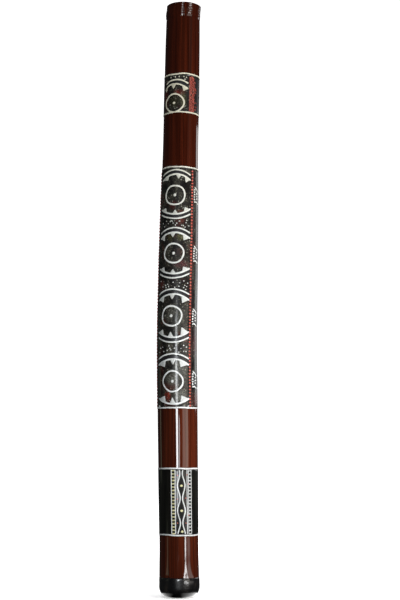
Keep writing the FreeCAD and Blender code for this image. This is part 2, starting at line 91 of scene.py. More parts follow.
def straight_bend(height):
    """Sideways offset of the centre line before it is smoothed."""
    below = (height - FOOT_HEIGHT) / (BEND_HEIGHT - FOOT_HEIGHT)
    above = (CULM_LENGTH - height) / (CULM_LENGTH - BEND_HEIGHT)
    return -BEND_OFFSET * max(0, min(below, above, BEND_SOFTENING))


RADIUS_READ = smooth_curve(CULM_STATIONS)
BEND_READ = smooth_curve([(height, straight_bend(height)) for height, radius in CULM_STATIONS])


def read_at(read, height):
    """A smoothed value between its whole millimetres."""
    place = min(max(height, 0), CULM_LENGTH - 0.001)
    below = int(place)
    return read[below] + (read[below + 1] - read[below]) * (place - below)


def culm_bend(height):
    """X of the centre line."""
    return read_at(BEND_READ, height)


def uneven(azimuth, quickness, row):
    """Smooth unevenness round the culm, from -1 to 1; a higher quickness changes it faster."""
    turn = math.radians(azimuth)
    return noise.noise(Vector((math.sin(turn) * quickness, math.cos(turn) * quickness, row)))


def culm_radius(azimuth, height):
    """Distance of the varnished surface from the centre line, with the culm's own unevenness."""
    oval = OUT_OF_ROUND * math.cos(2 * math.radians(azimuth) - height / OVAL_TWIST)
    sanded = HAND_SANDED * uneven(azimuth, 1.3, height / SANDED_LENGTH)
    return read_at(RADIUS_READ, height) + oval + sanded


def on_culm(azimuth, height, lift=0):
    """The point at that azimuth and height, lifted off the culm's surface, in metres."""
    turn = math.radians(azimuth)
    reach = culm_radius(azimuth, height) + lift
    return Vector((culm_bend(height) + reach * math.sin(turn), -reach * math.cos(turn), height)) * MM


def inside_culm(azimuth, height, radius):
    """The point at a given distance from the centre line, in metres."""
    turn = math.radians(azimuth)
    return Vector((culm_bend(height) + radius * math.sin(turn), -radius * math.cos(turn), height)) * MM


def join_rings(mesh, ring, following, material_number=0):
    """Skin the strip between two rings of vertices."""
    for place in range(len(ring)):
        beside = (place + 1) % len(ring)
        face = mesh.faces.new((ring[place], ring[beside], following[beside], following[place]))
        face.smooth = True
        face.material_index = material_number


def close_rings(mesh, rings, material_numbers=None):
    """Skin a list of rings of vertices, the last joined to the first."""
    for number, ring in enumerate(rings):
        following = rings[(number + 1) % len(rings)]
        join_rings(mesh, ring, following, material_numbers[number] if material_numbers else 0)


def finish_piece(mesh, name, materials, slot, *nodes):
    """Turn built geometry into a named piece that rides on the instrument's one body."""
    bmesh.ops.recalc_face_normals(mesh, faces=mesh.faces)
    data = bpy.data.meshes.new(name)
    mesh.to_mesh(data)
    mesh.free()
    piece = bpy.data.objects.new(name, data)
    bpy.context.scene.collection.objects.link(piece)
    for material in materials:
        data.materials.append(material)
    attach(piece, "root")
    if nodes:
        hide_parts(*nodes)
    return piece


def pigment(red, green, blue):
    """A colour given as it looks on a 0 to 255 scale."""
    linear = []
    for value in (red, green, blue):
        share = value / 255
        linear.append(share / 12.92 if share <= 0.04045 else ((share + 0.055) / 1.055) ** 2.4)
    return (*linear, 1)


def start_material(name, roughness, coat=0.0, coat_roughness=0.1):
    """A material with its surface shader set up, ready for its colour."""
    material = bpy.data.materials.new(name)
    material.use_nodes = True
    tree = material.node_tree
    shader = tree.nodes["Principled BSDF"]
    shader.inputs["Roughness"].default_value = roughness
    shader.inputs["Coat Weight"].default_value = coat
    shader.inputs["Coat Roughness"].default_value = coat_roughness
    return material, tree, shader


def grain(tree, scale, stretch=(1, 1, 1), detail=4, distortion=0.0):
    """Noise in the object's own metres; stretch below 1 draws it out along that axis."""
    place = tree.nodes.new("ShaderNodeTexCoord")
    mapping = tree.nodes.new("ShaderNodeMapping")
    mapping.inputs["Scale"].default_value = stretch
    texture = tree.nodes.new("ShaderNodeTexNoise")
    texture.inputs["Scale"].default_value = scale
    texture.inputs["Detail"].default_value = detail
    texture.inputs["Distortion"].default_value = distortion
    tree.links.new(place.outputs["Object"], mapping.inputs["Vector"])
    tree.links.new(mapping.outputs["Vector"], texture.inputs["Vector"])
    return texture.outputs["Fac"]


def tones(tree, factor, stops):
    """Spread colours over a factor; stops are (position, colour)."""
    ramp = tree.nodes.new("ShaderNodeValToRGB")
    elements = ramp.color_ramp.elements
    while len(elements) < len(stops):
        elements.new(0.5)
    for element, (position, colour) in zip(elements, stops):
        element.position = position
        element.color = colour
    tree.links.new(factor, ramp.inputs["Fac"])
    return ramp.outputs["Color"]


def blend_colours(tree, factor, first, second, kind="MIX"):
    """Mix two colour outputs by a factor, which is an output or a number."""
    mix = tree.nodes.new("ShaderNodeMix")
    mix.data_type = "RGBA"
    mix.blend_type = kind
    if isinstance(factor, float):
        mix.inputs["Factor"].default_value = factor
    else:
        tree.links.new(factor, mix.inputs["Factor"])
    tree.links.new(first, mix.inputs["A"])
    tree.links.new(second, mix.inputs["B"])
    return mix.outputs["Result"]


def roughen(tree, shader, height, distance, strength=1.0, socket="Normal"):
    """Raise fine relief on a surface; distance is in millimetres."""
    bump = tree.nodes.new("ShaderNodeBump")
    bump.inputs["Strength"].default_value = strength
    bump.inputs["Distance"].default_value = distance * MM
    tree.links.new(height, bump.inputs["Height"])
    tree.links.new(bump.outputs["Normal"], shader.inputs[socket])


def share_along(tree, axis, low, high):
    """How far a place lies between two millimetre marks on an axis, from 0 to 1."""
    place = tree.nodes.new("ShaderNodeTexCoord")
    axes = tree.nodes.new("ShaderNodeSeparateXYZ")
    share = tree.nodes.new("ShaderNodeMapRange")
    share.inputs["From Min"].default_value = low * MM
    share.inputs["From Max"].default_value = high * MM
    tree.links.new(place.outputs["Object"], axes.inputs["Vector"])
    tree.links.new(axes.outputs[axis], share.inputs["Value"])
    return share.outputs["Result"]


def varnished_bamboo():
    """Stained fibres that run the whole length, seen through clear gloss varnish, with painted shade on
    the left side.
    """
    material, tree, shader = start_material("varnished_bamboo", 0.45, coat=1.0, coat_roughness=0.05)
    shader.inputs["Specular IOR Level"].default_value = 0.0
    fibres = grain(tree, 420, (1, 1, 0.012), detail=5)
    stain = grain(tree, 60, (1, 1, 0.05), detail=3)
    fibre_tones = tones(tree, fibres, [
        (0.30, pigment(56, 21, 9)),
        (0.50, pigment(76, 30, 14)),
        (0.68, pigment(92, 38, 19)),
    ])
    stain_tones = tones(tree, stain, [
        (0.35, pigment(206, 198, 190)),
        (0.62, pigment(255, 252, 250)),
    ])
    colour = blend_colours(tree, 1.0, fibre_tones, stain_tones, "MULTIPLY")
    darker_up = tones(tree, share_along(tree, "Z", 0, CULM_LENGTH), [
        (0.15, pigment(250, 250, 250)),
        (0.75, pigment(206, 190, 185)),
        (0.95, pigment(192, 180, 174)),
    ])
    # Painted shade: the bamboo's colour is darkened towards its left side, away from the lights.
    painted_shade_left = tones(tree, share_along(tree, "X", -40, 30), [
        (0.10, pigment(220, 222, 220)),
        (0.85, pigment(255, 255, 255)),
    ])
    colour = blend_colours(tree, 1.0, colour, darker_up, "MULTIPLY")
    colour = blend_colours(tree, 1.0, colour, painted_shade_left, "MULTIPLY")
    tree.links.new(colour, shader.inputs["Base Color"])
    roughen(tree, shader, fibres, 0.06, 0.6)
    flow = grain(tree, 90, (1, 1, 0.25), detail=2)
    roughen(tree, shader, flow, 0.05, 0.35, "Coat Normal")
    return material


def raw_bamboo():
    """The bored inside: pale fibre, smoked darker in streaks."""
    material, tree, shader = start_material("raw_bamboo", 0.8)
    fibres = grain(tree, 350, (1, 1, 0.03), detail=6)
    colour = tones(tree, fibres, [
        (0.3, pigment(96, 68, 42)),
        (0.6, pigment(150, 116, 74)),
        (0.8, pigment(178, 146, 100)),
    ])
    tree.links.new(colour, shader.inputs["Base Color"])
    roughen(tree, shader, fibres, 0.3, 0.8)
    return material


CULM_SIDES = 144
WALL_STEP = 3.5
COLLAR_START = 1172.5
COLLAR_RADIUS = 34.7
COLLAR_GROOVE = 0.35
RIDGE_PITCH = 5
RIDGE_RISE = 0.9
RIDGE_WAVER = 0.7
COLLAR_FLARE = 1.3
COLLAR_BULGE = 0.6
BELL_BORE = 17.5
SEPTUM_BORE = 22
CHAMBER = 26
MOUTH_BORE = 20


def collar_radius(azimuth, height):
    """The node at the mouth: five soft uneven rings, flared a little on one side at the top."""
    rightward = math.sin(math.radians(azimuth))
    along = (height - COLLAR_START + RIDGE_WAVER * uneven(azimuth, 2, 4)) / RIDGE_PITCH
    across = 2 * (along % 1) - 1
    swell = 0.75 + 0.45 * uneven(azimuth, 3, int(along) * 2.7)
    ridge = RIDGE_RISE * swell * (1 - abs(across) ** 2.4)
    rise = max(0, (height - COLLAR_START) / (CULM_LENGTH - COLLAR_START))
    flare = COLLAR_FLARE * rise ** 2 * rightward
    bulge = COLLAR_BULGE * math.sin(math.pi * min(1, rise * 1.4)) * max(0, -rightward)
    return COLLAR_RADIUS + ridge + flare + bulge


def levels_between(first, limit, pitch):
    """Heights a pitch apart, from the first one up to just short of the limit."""
    return [first + number * pitch for number in range(math.ceil((limit - first) / pitch))]


culm_mesh = bmesh.new()
culm_rings = []
ring_materials = []
azimuths = [360 * side / CULM_SIDES for side in range(CULM_SIDES)]


def add_ring(point_at, material_number):
    """One ring of the culm's closed skin."""
    culm_rings.append([culm_mesh.verts.new(point_at(azimuth)) for azimuth in azimuths])
    ring_materials.append(material_number)


FOOT_STEPS = 12
for step in range(FOOT_STEPS + 1):
    angle = math.radians(90 * step / FOOT_STEPS)
    foot_height = FOOT_ROUNDING * (1 - math.cos(angle))
    inset = FOOT_ROUNDING * (1 - math.sin(angle))
    add_ring(lambda azimuth: on_culm(azimuth, foot_height, -inset), 0)
for wall_height in levels_between(FOOT_HEIGHT, COLLAR_START - 1, WALL_STEP):
    add_ring(lambda azimuth: on_culm(azimuth, wall_height), 0)
add_ring(lambda azimuth: on_culm(azimuth, COLLAR_START - 0.6, -COLLAR_GROOVE), 0)
COLLAR_RINGS = 50
COLLAR_END = CULM_LENGTH - 1.2


def on_collar(azimuth, height):
    """A point on the ringed surface of the collar."""
    return inside_culm(azimuth, height, collar_radius(azimuth, height))


for step in range(COLLAR_RINGS):
    collar_height = COLLAR_START + (COLLAR_END - COLLAR_START) * step / (COLLAR_RINGS - 1)
    add_ring(lambda azimuth: on_collar(azimuth, collar_height), 0)
RIM = [(CULM_LENGTH - 0.35, 34.3), (CULM_LENGTH, 33.2), (CULM_LENGTH, 29), (CULM_LENGTH, MOUTH_BORE)]
for rim_height, rim_radius in RIM:
    add_ring(lambda azimuth: inside_culm(azimuth, rim_height, rim_radius), 0)

bore_profile = [(1178, MOUTH_BORE), (1163, MOUTH_BORE), (1160, 20.6), (1156, 24.5), (1150, CHAMBER)]
SEPTUM_SHAPE = [(11, CHAMBER), (7, 25.2), (5, 23.2), (3.2, SEPTUM_BORE)]
for septum_height in reversed(SEPTUM_HEIGHTS):
    for rise, radius in SEPTUM_SHAPE:
        bore_profile.append((septum_height + rise, radius))
    for rise, radius in reversed(SEPTUM_SHAPE):
        bore_profile.append((septum_height - rise, radius))
bore_profile += [(40, CHAMBER), (34, 24.5), (30.5, 20), (28, BELL_BORE)]
bore_profile += [(2, BELL_BORE), (0.5, 17.8), (0, 18.4)]
smooth_bore = [bore_profile[0]]
BORE_STEP = 12
for (from_height, from_radius), (to_height, to_radius) in zip(bore_profile, bore_profile[1:]):
    pieces = max(1, round(abs(to_height - from_height) / BORE_STEP))
    for piece_number in range(1, pieces + 1):
        share = piece_number / pieces
        smooth_bore.append((
            from_height + (to_height - from_height) * share,
            from_radius + (to_radius - from_radius) * share,
        ))
for bore_height, bore_radius in smooth_bore:
    add_ring(lambda azimuth: inside_culm(azimuth, bore_height, bore_radius), 1)
close_rings(culm_mesh, culm_rings, ring_materials)
finish_piece(culm_mesh, "bamboo_culm", [varnished_bamboo(), raw_bamboo()], "bamboo", "culm")

# ======================================================================= mouthpiece
# A ring of beeswax warmed in the hand, pressed into the mouth and turned over the rim.
# It keeps the marks of the fingers that shaped it.

WAX_BORE = 15
WAX_FOOT = 1178
WAX_LIP = 27
WAX_TOP = 1203
WAX_SIDES = 96
WAX_PROFILE = [
    (WAX_FOOT, WAX_BORE + 0.6), (WAX_FOOT, MOUTH_BORE), (CULM_LENGTH - 0.1, MOUTH_BORE),
    (CULM_LENGTH + 0.05, MOUTH_BORE + 1), (CULM_LENGTH + 0.05, 24.5), (CULM_LENGTH + 0.1, 26.4),
    (CULM_LENGTH + 0.8, WAX_LIP), (CULM_LENGTH + 1.8, 26.6), (CULM_LENGTH + 2.6, 25),
    (CULM_LENGTH + 2.95, 22.5), (WAX_TOP, 20), (CULM_LENGTH + 2.8, 17.6), (CULM_LENGTH + 2, 16),
    (CULM_LENGTH + 0.6, 15.2), (CULM_LENGTH - 3, WAX_BORE), (CULM_LENGTH - 12, WAX_BORE),
]
PRESSED = 0.5


def beeswax():
    """Warm amber-brown wax, a little see-through at its edges."""
    material, tree, shader = start_material("beeswax", 0.42, coat=0.15, coat_roughness=0.3)
    cloud = grain(tree, 120, detail=4, distortion=0.6)
    colour = tones(tree, cloud, [
        (0.3, pigment(120, 78, 34)),
        (0.55, pigment(164, 112, 50)),
        (0.75, pigment(188, 140, 72)),
    ])
    tree.links.new(colour, shader.inputs["Base Color"])
    shader.inputs["Subsurface Weight"].default_value = 0.25
    shader.inputs["Subsurface Radius"].default_value = (0.004, 0.002, 0.001)
    shader.inputs["Subsurface Scale"].default_value = 1.0
    roughen(tree, shader, cloud, 0.4, 0.6)
    return material


wax_mesh = bmesh.new()
wax_rings = []
for wax_height, wax_radius in WAX_PROFILE:
    ring = []
    for side in range(WAX_SIDES):
        azimuth = 360 * side / WAX_SIDES
        thumb = uneven(azimuth, 2.2, wax_height / 6)
        soft = PRESSED * thumb if wax_height > CULM_LENGTH + 0.5 else 0
        rise = min(0, soft) * 0.8
        place = inside_culm(azimuth, min(wax_height, CULM_LENGTH), wax_radius + soft)
        place.z = (wax_height + rise) * MM
        ring.append(wax_mesh.verts.new(place))
    wax_rings.append(ring)
close_rings(wax_mesh, wax_rings)
finish_piece(wax_mesh, "wax_mouthpiece", [beeswax()], "beeswax", "mouthpiece")

# ======================================================================= bell coat
# The bell end is dipped in black gloss lacquer, which covers the rounded node and
# stops in a slightly wavy line about 39 mm up. It is rubbed away where the end stands.

GROUND_LIFT = 0.4
SUNK = 0.12
BELL_COAT_FOOT = 1
BELL_COAT_TOP = 39
LACQUER_WAVER = 1.1
LACQUER_CROWDING = 1.5
NODE_HEIGHT = 23
NODE_SWELL = 0.6
NODE_SPREAD = 17


def spread(tree, factor, low, high):
    """A plain number that runs from low to high through the middle range of a noise."""
    span = tree.nodes.new("ShaderNodeMapRange")
    span.inputs["From Min"].default_value = 0.3
    span.inputs["From Max"].default_value = 0.7
    span.inputs["To Min"].default_value = low
    span.inputs["To Max"].default_value = high
    tree.links.new(factor, span.inputs["Value"])
    return span.outputs["Result"]


def black_lacquer():
    """Deep black gloss with a few dust nibs and faint wear."""
    material, tree, shader = start_material("black_lacquer", 0.3, coat=0.6, coat_roughness=0.08)
    shader.inputs["Specular IOR Level"].default_value = 0.3
    wear = grain(tree, 55, detail=6)
    colour = tones(tree, wear, [
        (0.4, pigment(9, 9, 11)),
        (0.62, pigment(20, 19, 19)),
        (0.8, pigment(52, 44, 38)),
    ])
    tree.links.new(colour, shader.inputs["Base Color"])
    tree.links.new(spread(tree, wear, 0.22, 0.4), shader.inputs["Roughness"])
    flow = grain(tree, 150, detail=2)
    roughen(tree, shader, flow, 0.05, 0.4, "Coat Normal")
    return material


def foot_inset(height):
    """How far the rounded foot has drawn in from the full radius."""
    if height >= FOOT_ROUNDING:
        return 0
    return FOOT_ROUNDING - math.sqrt(FOOT_ROUNDING ** 2 - (FOOT_ROUNDING - height) ** 2)


lacquer_mesh = bmesh.new()
lacquer_rings = []
LACQUER_STEPS = 26
for step in range(LACQUER_STEPS + 1):
    share = step / LACQUER_STEPS
    ring = []
    for azimuth in azimuths:
        top = BELL_COAT_TOP + LACQUER_WAVER * uneven(azimuth, 3, 9)
        height = BELL_COAT_FOOT + (top - BELL_COAT_FOOT) * share ** LACQUER_CROWDING
        # The coat thins out to its top edge, and to where the end stands on it.
        thin = min(1, (1 - share) * 14) ** 0.5 * min(1, 0.3 + share * 8)
        swollen = NODE_SWELL * math.exp(-((height - NODE_HEIGHT) / NODE_SPREAD) ** 2)
        swollen *= 0.6 + 0.4 * math.sin(math.radians(azimuth))
        lift = GROUND_LIFT * thin + swollen - foot_inset(height)
        ring.append(lacquer_mesh.verts.new(on_culm(azimuth, height, lift)))
    lacquer_rings.append(ring)
for step in range(LACQUER_STEPS, -1, -1):
    share = step / LACQUER_STEPS
    height_here = BELL_COAT_FOOT + (BELL_COAT_TOP - BELL_COAT_FOOT) * share ** LACQUER_CROWDING
    lacquer_rings.append([
        lacquer_mesh.verts.new(on_culm(azimuth, height_here, -SUNK - foot_inset(height_here)))
        for azimuth in azimuths
    ])
close_rings(lacquer_mesh, lacquer_rings)
finish_piece(lacquer_mesh, "bell_lacquer", [black_lacquer()], "black_lacquer", "bell_coat")

# ======================================================================= ground coats
# Each painted band starts as a dark ground brushed round the culm. The body and mouth bands
# are mottled: olive, grey and red-brown dabbed into the black. The bell band is plain black.

BANDS = {"mouth": (967, 1047), "body": (369, 853.5), "bell": (121.5, 250)}
GROUND_STEP = 5
# Dabs of paint and patches of painted sheen: azimuth, height, half width, half height, colour.
GROUND_DABS_AND_SHEEN = [
    (6, 743, 9, 6, (112, 56, 44)),
    (-55, 614, 9, 14, (82, 36, 30)),
    (-28, 393, 7, 9, (140, 52, 34)),
    (-22, 412, 14, 10, (88, 44, 34)),
    (-25, 710, 8, 8, (66, 64, 40)),
    (7, 710, 9, 8, (84, 82, 46)),
    (10, 655, 16, 9, (88, 52, 50)),
    (2, 680, 11, 9, (74, 52, 46)),
    # The next three, pale grey at the front, are painted sheen on the varnish, not paint.
    (8, 440, 13, 26, (112, 112, 106)),
    (10, 392, 12, 14, (120, 120, 112)),
    (6, 545, 14, 24, (84, 84, 76)),
    (-7, 1008, 12, 7, (104, 36, 26)),
    (6, 992, 8, 16, (84, 84, 58)),
    (-24, 990, 13, 14, (54, 52, 34)),
    (5, 760, 9, 6, (92, 56, 42)),
    (-50, 440, 8, 50, (66, 30, 24)),
    (-14, 423, 13, 12, (108, 108, 100)),
    (-18, 553, 13, 13, (88, 87, 80)),
    (-56, 1000, 7, 34, (84, 30, 22)),
    (70, 500, 18, 30, (66, 30, 34)),
    (66, 385, 16, 18, (84, 34, 28)),
    (72, 740, 16, 22, (60, 44, 42)),
]


def dab_and_sheen_spot(tree, azimuth, height, half_width, half_height):
    """1 in the middle of a patch, falling softly to 0 at its edge; the patches are dabs of paint and
    painted sheen.
    """
    place = tree.nodes.new("ShaderNodeTexCoord")
    away = tree.nodes.new("ShaderNodeVectorMath")
    away.operation = "SUBTRACT"
    away.inputs[1].default_value = on_culm(azimuth, height)
    sized = tree.nodes.new("ShaderNodeVectorMath")
    sized.operation = "DIVIDE"
    sized.inputs[1].default_value = (half_width * MM, half_width * MM, half_height * MM)
    distance = tree.nodes.new("ShaderNodeVectorMath")
    distance.operation = "LENGTH"
    fall = tree.nodes.new("ShaderNodeMapRange")
    fall.inputs["From Min"].default_value = 1.25
    fall.inputs["From Max"].default_value = 0.35
    tree.links.new(place.outputs["Object"], away.inputs[0])
    tree.links.new(away.outputs["Vector"], sized.inputs[0])
    tree.links.new(sized.outputs["Vector"], distance.inputs[0])
    tree.links.new(distance.outputs["Value"], fall.inputs["Value"])
    return fall.outputs["Result"]


def mottled_ground():
    """Black dabbed over with olive-grey and red-brown while wet, with pale grey painted sheen near the
    front.
    """
    material, tree, shader = start_material("mottled_ground", 0.42, coat=0.5, coat_roughness=0.12)
    shader.inputs["Specular IOR Level"].default_value = 0.2
    dabs = grain(tree, 62, (1, 1, 0.7), detail=5, distortion=0.8)
    fine = grain(tree, 420, detail=3)
    red = grain(tree, 31, (1, 1, 0.8), detail=3)
    dark_tones = tones(tree, dabs, [
        (0.38, pigment(17, 16, 17)),
        (0.52, pigment(36, 34, 31)),
        (0.66, pigment(62, 60, 50)),
        (0.80, pigment(86, 84, 74)),
    ])
    red_tones = tones(tree, dabs, [
        (0.35, pigment(26, 12, 11)),
        (0.60, pigment(78, 28, 20)),
        (0.80, pigment(96, 50, 38)),
    ])
    patches = tones(tree, red, [(0.59, (0, 0, 0, 1)), (0.70, (1, 1, 1, 1))])
    colour = blend_colours(tree, patches, dark_tones, red_tones)
    # Lay on the dabs of paint and the patches of painted sheen; paint holds the colour of either.
    for azimuth, height, half_width, half_height, paint in GROUND_DABS_AND_SHEEN:
        nearness = dab_and_sheen_spot(tree, azimuth, height, half_width, half_height)
        colour = blend_colours(tree, nearness, colour, tones(tree, dabs, [
            (0.3, pigment(*[value * 0.45 for value in paint])),
            (0.6, pigment(*paint)),
        ]))
    speckle = tones(tree, fine, [(0.35, pigment(120, 120, 120)), (0.62, pigment(255, 255, 255))])
    colour = blend_colours(tree, 1.0, colour, speckle, "MULTIPLY")
    flecks = tones(tree, grain(tree, 330, detail=2), [(0.62, (0, 0, 0, 1)), (0.71, (1, 1, 1, 1))])
    fleck_colour = tones(tree, dabs, [(0.4, pigment(92, 88, 70)), (0.6, pigment(150, 150, 140))])
    colour = blend_colours(tree, flecks, colour, fleck_colour)
    tree.links.new(colour, shader.inputs["Base Color"])
    tree.links.new(spread(tree, dabs, 0.32, 0.55), shader.inputs["Roughness"])
    roughen(tree, shader, fine, 0.05, 0.5)
    return material


def plain_ground():
    """Flat black brush paint under the varnish."""
    material, tree, shader = start_material("plain_ground", 0.4, coat=0.5, coat_roughness=0.07)
    shader.inputs["Specular IOR Level"].default_value = 0.1
    brushed = grain(tree, 260, (1, 1, 0.08), detail=4)
    colour = tones(tree, brushed, [(0.35, pigment(9, 9, 8)), (0.7, pigment(21, 20, 17))])
    tree.links.new(colour, shader.inputs["Base Color"])
    roughen(tree, shader, brushed, 0.05, 0.5)
    return material


mottled = mottled_ground()
ground_materials = {"mouth": mottled, "body": mottled, "bell": plain_ground()}
for band, (bottom, top) in BANDS.items():
    ground_mesh = bmesh.new()
    steps = round((top - bottom) / GROUND_STEP)
    levels = [bottom + (top - bottom) * step / steps for step in range(steps + 1)]
    ground_rings = [
        [ground_mesh.verts.new(on_culm(azimuth, level, GROUND_LIFT)) for azimuth in azimuths]
        for level in levels
    ]
    # The inner skin has the same levels, so it follows the bent culm just under its surface.
    ground_rings += [
        [ground_mesh.verts.new(on_culm(azimuth, level, -SUNK)) for azimuth in azimuths]
        for level in reversed(levels)
    ]
    close_rings(ground_mesh, ground_rings)
    coat_name = f"{band}_ground_coat"
    finish_piece(ground_mesh, coat_name, [ground_materials[band]], "ground_paint", f"{band}_ground")

# ======================================================================= border lines
# One raised white line round each end of each band, drawn freehand with a loaded brush,
# so it wavers by about a millimetre and its width changes a little.

BORDER_WIDTH = 2.8
BORDER_DRIFT = 1.2
PAINT_RISE = 0.4
# Half of the stroke's width and of its rise, from one edge of the stroke to the other.
SECTION = [(-1, -1), (-0.9, 0.45), (-0.6, 0.86), (0, 1), (0.6, 0.86), (0.9, 0.45), (1, -1)]


def flat(azimuth, height):
    """A place on the culm as flat millimetres round it and up it."""
    return Vector((math.radians(azimuth) * culm_radius(azimuth, height), height))


def brush_stroke(mesh, path, width, seed, closed=False, waver=0.3, ground=GROUND_LIFT, rise=PAINT_RISE):
    """Lay a raised line of paint along (azimuth, height) points, with round ends."""
    places = [flat(azimuth, height) for azimuth, height in path]
    count = len(places)
    along = [0.0]
    for before, after in zip(places, places[1:]):
        along.append(along[-1] + (after - before).length)
    rings = []
    for number, (azimuth, height) in enumerate(path):
        before = places[number - 1] if closed or number else places[0]
        after = places[(number + 1) % count] if closed or number < count - 1 else places[-1]
        run = after - before
        if closed and run.length > along[-1] / 2:
            run = places[1] - places[0]
        side = Vector((-run.y, run.x)).normalized()
        travelled = along[number]
        drift = waver * noise.noise(Vector((travelled / 14, seed * 3.7, 0)))
        swell = 1 + 0.22 * noise.noise(Vector((travelled / 7, seed * 5.1, 3)))
        if not closed:
            to_end = min(travelled, along[-1] - travelled) / (width / 2)
            swell *= math.sqrt(max(0.03, 1 - (1 - min(1, to_end)) ** 2))
        ring = []
        for across, up in SECTION:
            shift = side * (drift + across * width / 2 * swell)
            turn = math.degrees(shift.x / culm_radius(azimuth, height))
            lift = ground + (rise * up * min(1, swell) if up > 0 else -SUNK)
            ring.append(mesh.verts.new(on_culm(azimuth + turn, height + shift.y, lift)))
        rings.append(ring)
    if closed:
        close_rings(mesh, rings)
        return
    for ring, following in zip(rings, rings[1:]):
        join_rings(mesh, ring, following)
    mesh.faces.new(rings[0])
    mesh.faces.new(list(reversed(rings[-1])))


def yellowed(tree):
    """The whites are yellower towards the mouth, where hands hold the instrument."""
    return tones(tree, share_along(tree, "Z", 0, CULM_LENGTH), [
        (0.35, pigment(232, 235, 240)),
        (0.60, pigment(228, 230, 230)),
        (0.82, pigment(222, 218, 200)),
    ])


def white_paint():
    """Thick off-white acrylic, a little thin and grey where the brush ran dry."""
    material, tree, shader = start_material("white_paint", 0.5, coat=0.25, coat_roughness=0.2)
    dry = grain(tree, 520, detail=4)
    colour = tones(tree, dry, [
        (0.25, pigment(192, 191, 182)),
        (0.45, pigment(228, 228, 222)),
        (0.70, pigment(242, 242, 240)),
    ])
    colour = blend_colours(tree, 1.0, colour, yellowed(tree), "MULTIPLY")
    tree.links.new(colour, shader.inputs["Base Color"])
    roughen(tree, shader, dry, 0.08, 0.5)
    return material


white = white_paint()
LINE_STEP = 2
for number, (band, edges) in enumerate(BANDS.items()):
    for place, level in zip(("bottom", "top"), edges):
        line_mesh = bmesh.new()
        path = []
        for azimuth in range(0, 360, LINE_STEP):
            path.append((azimuth, level + BORDER_DRIFT * uneven(azimuth, 1.5, level)))
        brush_stroke(line_mesh, path, BORDER_WIDTH, number, closed=True, ground=GROUND_LIFT, waver=0.1)
        finish_piece(line_mesh, f"{band}_{place}_border", [white], "white_paint", f"{band}_{place}_line")

# ======================================================================= body band: suns
# Four sun rings with a dot in the middle, painted in thick white one above another on the
# front, and again on the back. Each ring is one slow turn of the brush, never quite round.

PANELS = {"front": 0, "back": 180}
SUN_STROKE = 3.3
SUN_DOT = 3
SUN_DOT_RISE = 0.8
RING_POINTS = 64
# Azimuth and height of the middle, half width and half height of the ring.
SUNS = [(-14, 795.5, 20.6, 19.6), (-14, 677, 20.6, 19.4), (-17, 551, 21.2, 19.8), (-13, 421, 20.8, 20)]


def on_panel(azimuth, side):
    """The back panel is the front one painted again half way round, a little differently."""
    return azimuth + PANELS[side]


def path_on_panel(path, side):
    """A stroke of the front panel, carried to the panel it is painted on."""
    return [(on_panel(azimuth, side), height) for azimuth, height in path]


def ring_path(azimuth, height, half_width, half_height):
    """Points round a sun ring."""
    reach = math.degrees(half_width / culm_radius(azimuth, height))
    path = []
    for point in range(RING_POINTS):
        turn = 2 * math.pi * point / RING_POINTS
        squarish = 1 + 0.02 * math.cos(4 * turn + height)
        path.append((
            azimuth + reach * squarish * math.cos(turn),
            height + half_height * squarish * math.sin(turn),
        ))
    return path


# How far out each ring of a drop of paint lies and how high, from its foot to near its crown.
BLOB_RINGS = [(1.0, -1), (0.97, 0.35), (0.86, 0.78), (0.6, 1.0), (0.3, 1.06)]


def paint_blob(mesh, azimuth, height, outline, rise, ground=GROUND_LIFT, material=0):
    """Drop a domed shape of paint; outline is flat millimetres about its own middle."""
    radius = culm_radius(azimuth, height)
    rings = []
    for share, up in BLOB_RINGS:
        lift = ground + (rise * up if up > 0 else -SUNK)
        rings.append([
            mesh.verts.new(on_culm(azimuth + math.degrees(x * share / radius), height + y * share, lift))
            for x, y in outline
        ])
    for ring, following in zip(rings, rings[1:]):
        join_rings(mesh, ring, following, material)
    mesh.faces.new(rings[0])
    crown = mesh.verts.new(on_culm(azimuth, height, ground + rise * BLOB_RINGS[-1][1]))
    for place, vertex in enumerate(rings[-1]):
        face = mesh.faces.new((vertex, rings[-1][(place + 1) % len(rings[-1])], crown))
        face.smooth = True
        face.material_index = material


def dot_outline(half_width, half_height, seed, points=16):
    """A round dot, pressed a little out of shape."""
    outline = []
    for point in range(points):
        turn = 2 * math.pi * point / points
        pressed = 1 + 0.14 * noise.noise(Vector((math.cos(turn), math.sin(turn), seed * 1.7)))
        outline.append((half_width * pressed * math.cos(turn), half_height * pressed * math.sin(turn)))
    return outline


for side in PANELS:
    ring_mesh = bmesh.new()
    dot_mesh = bmesh.new()
    for number, (azimuth, height, half_width, half_height) in enumerate(SUNS):
        middle = on_panel(azimuth, side)
        seed = number + PANELS[side]
        path = ring_path(middle, height, half_width, half_height)
        brush_stroke(ring_mesh, path, SUN_STROKE, seed, closed=True, waver=0.5)
        paint_blob(dot_mesh, middle, height, dot_outline(SUN_DOT, SUN_DOT, seed), SUN_DOT_RISE)
    finish_piece(ring_mesh, f"sun_rings_{side}", [white], "white_paint", f"body_{side}_sun_rings")
    finish_piece(dot_mesh, f"sun_dots_{side}", [white], "white_paint", f"body_{side}_sun_dots")

# ======================================================================= body band: arcs
# Above and below each sun a toothed arc turns its three teeth towards it, with a plain arc
# outside and a thin black stroke between the two. The arcs are thick white, and the teeth are
# hatched in thinly; the outer ones fill the corner between the arc and the row of beads.

ARC_LEFT = -65
ARC_RIGHT = 36.5
ARC_STROKE = 3.0
TOOTHED_STROKE = 3.4
ARC_STEPS = 51
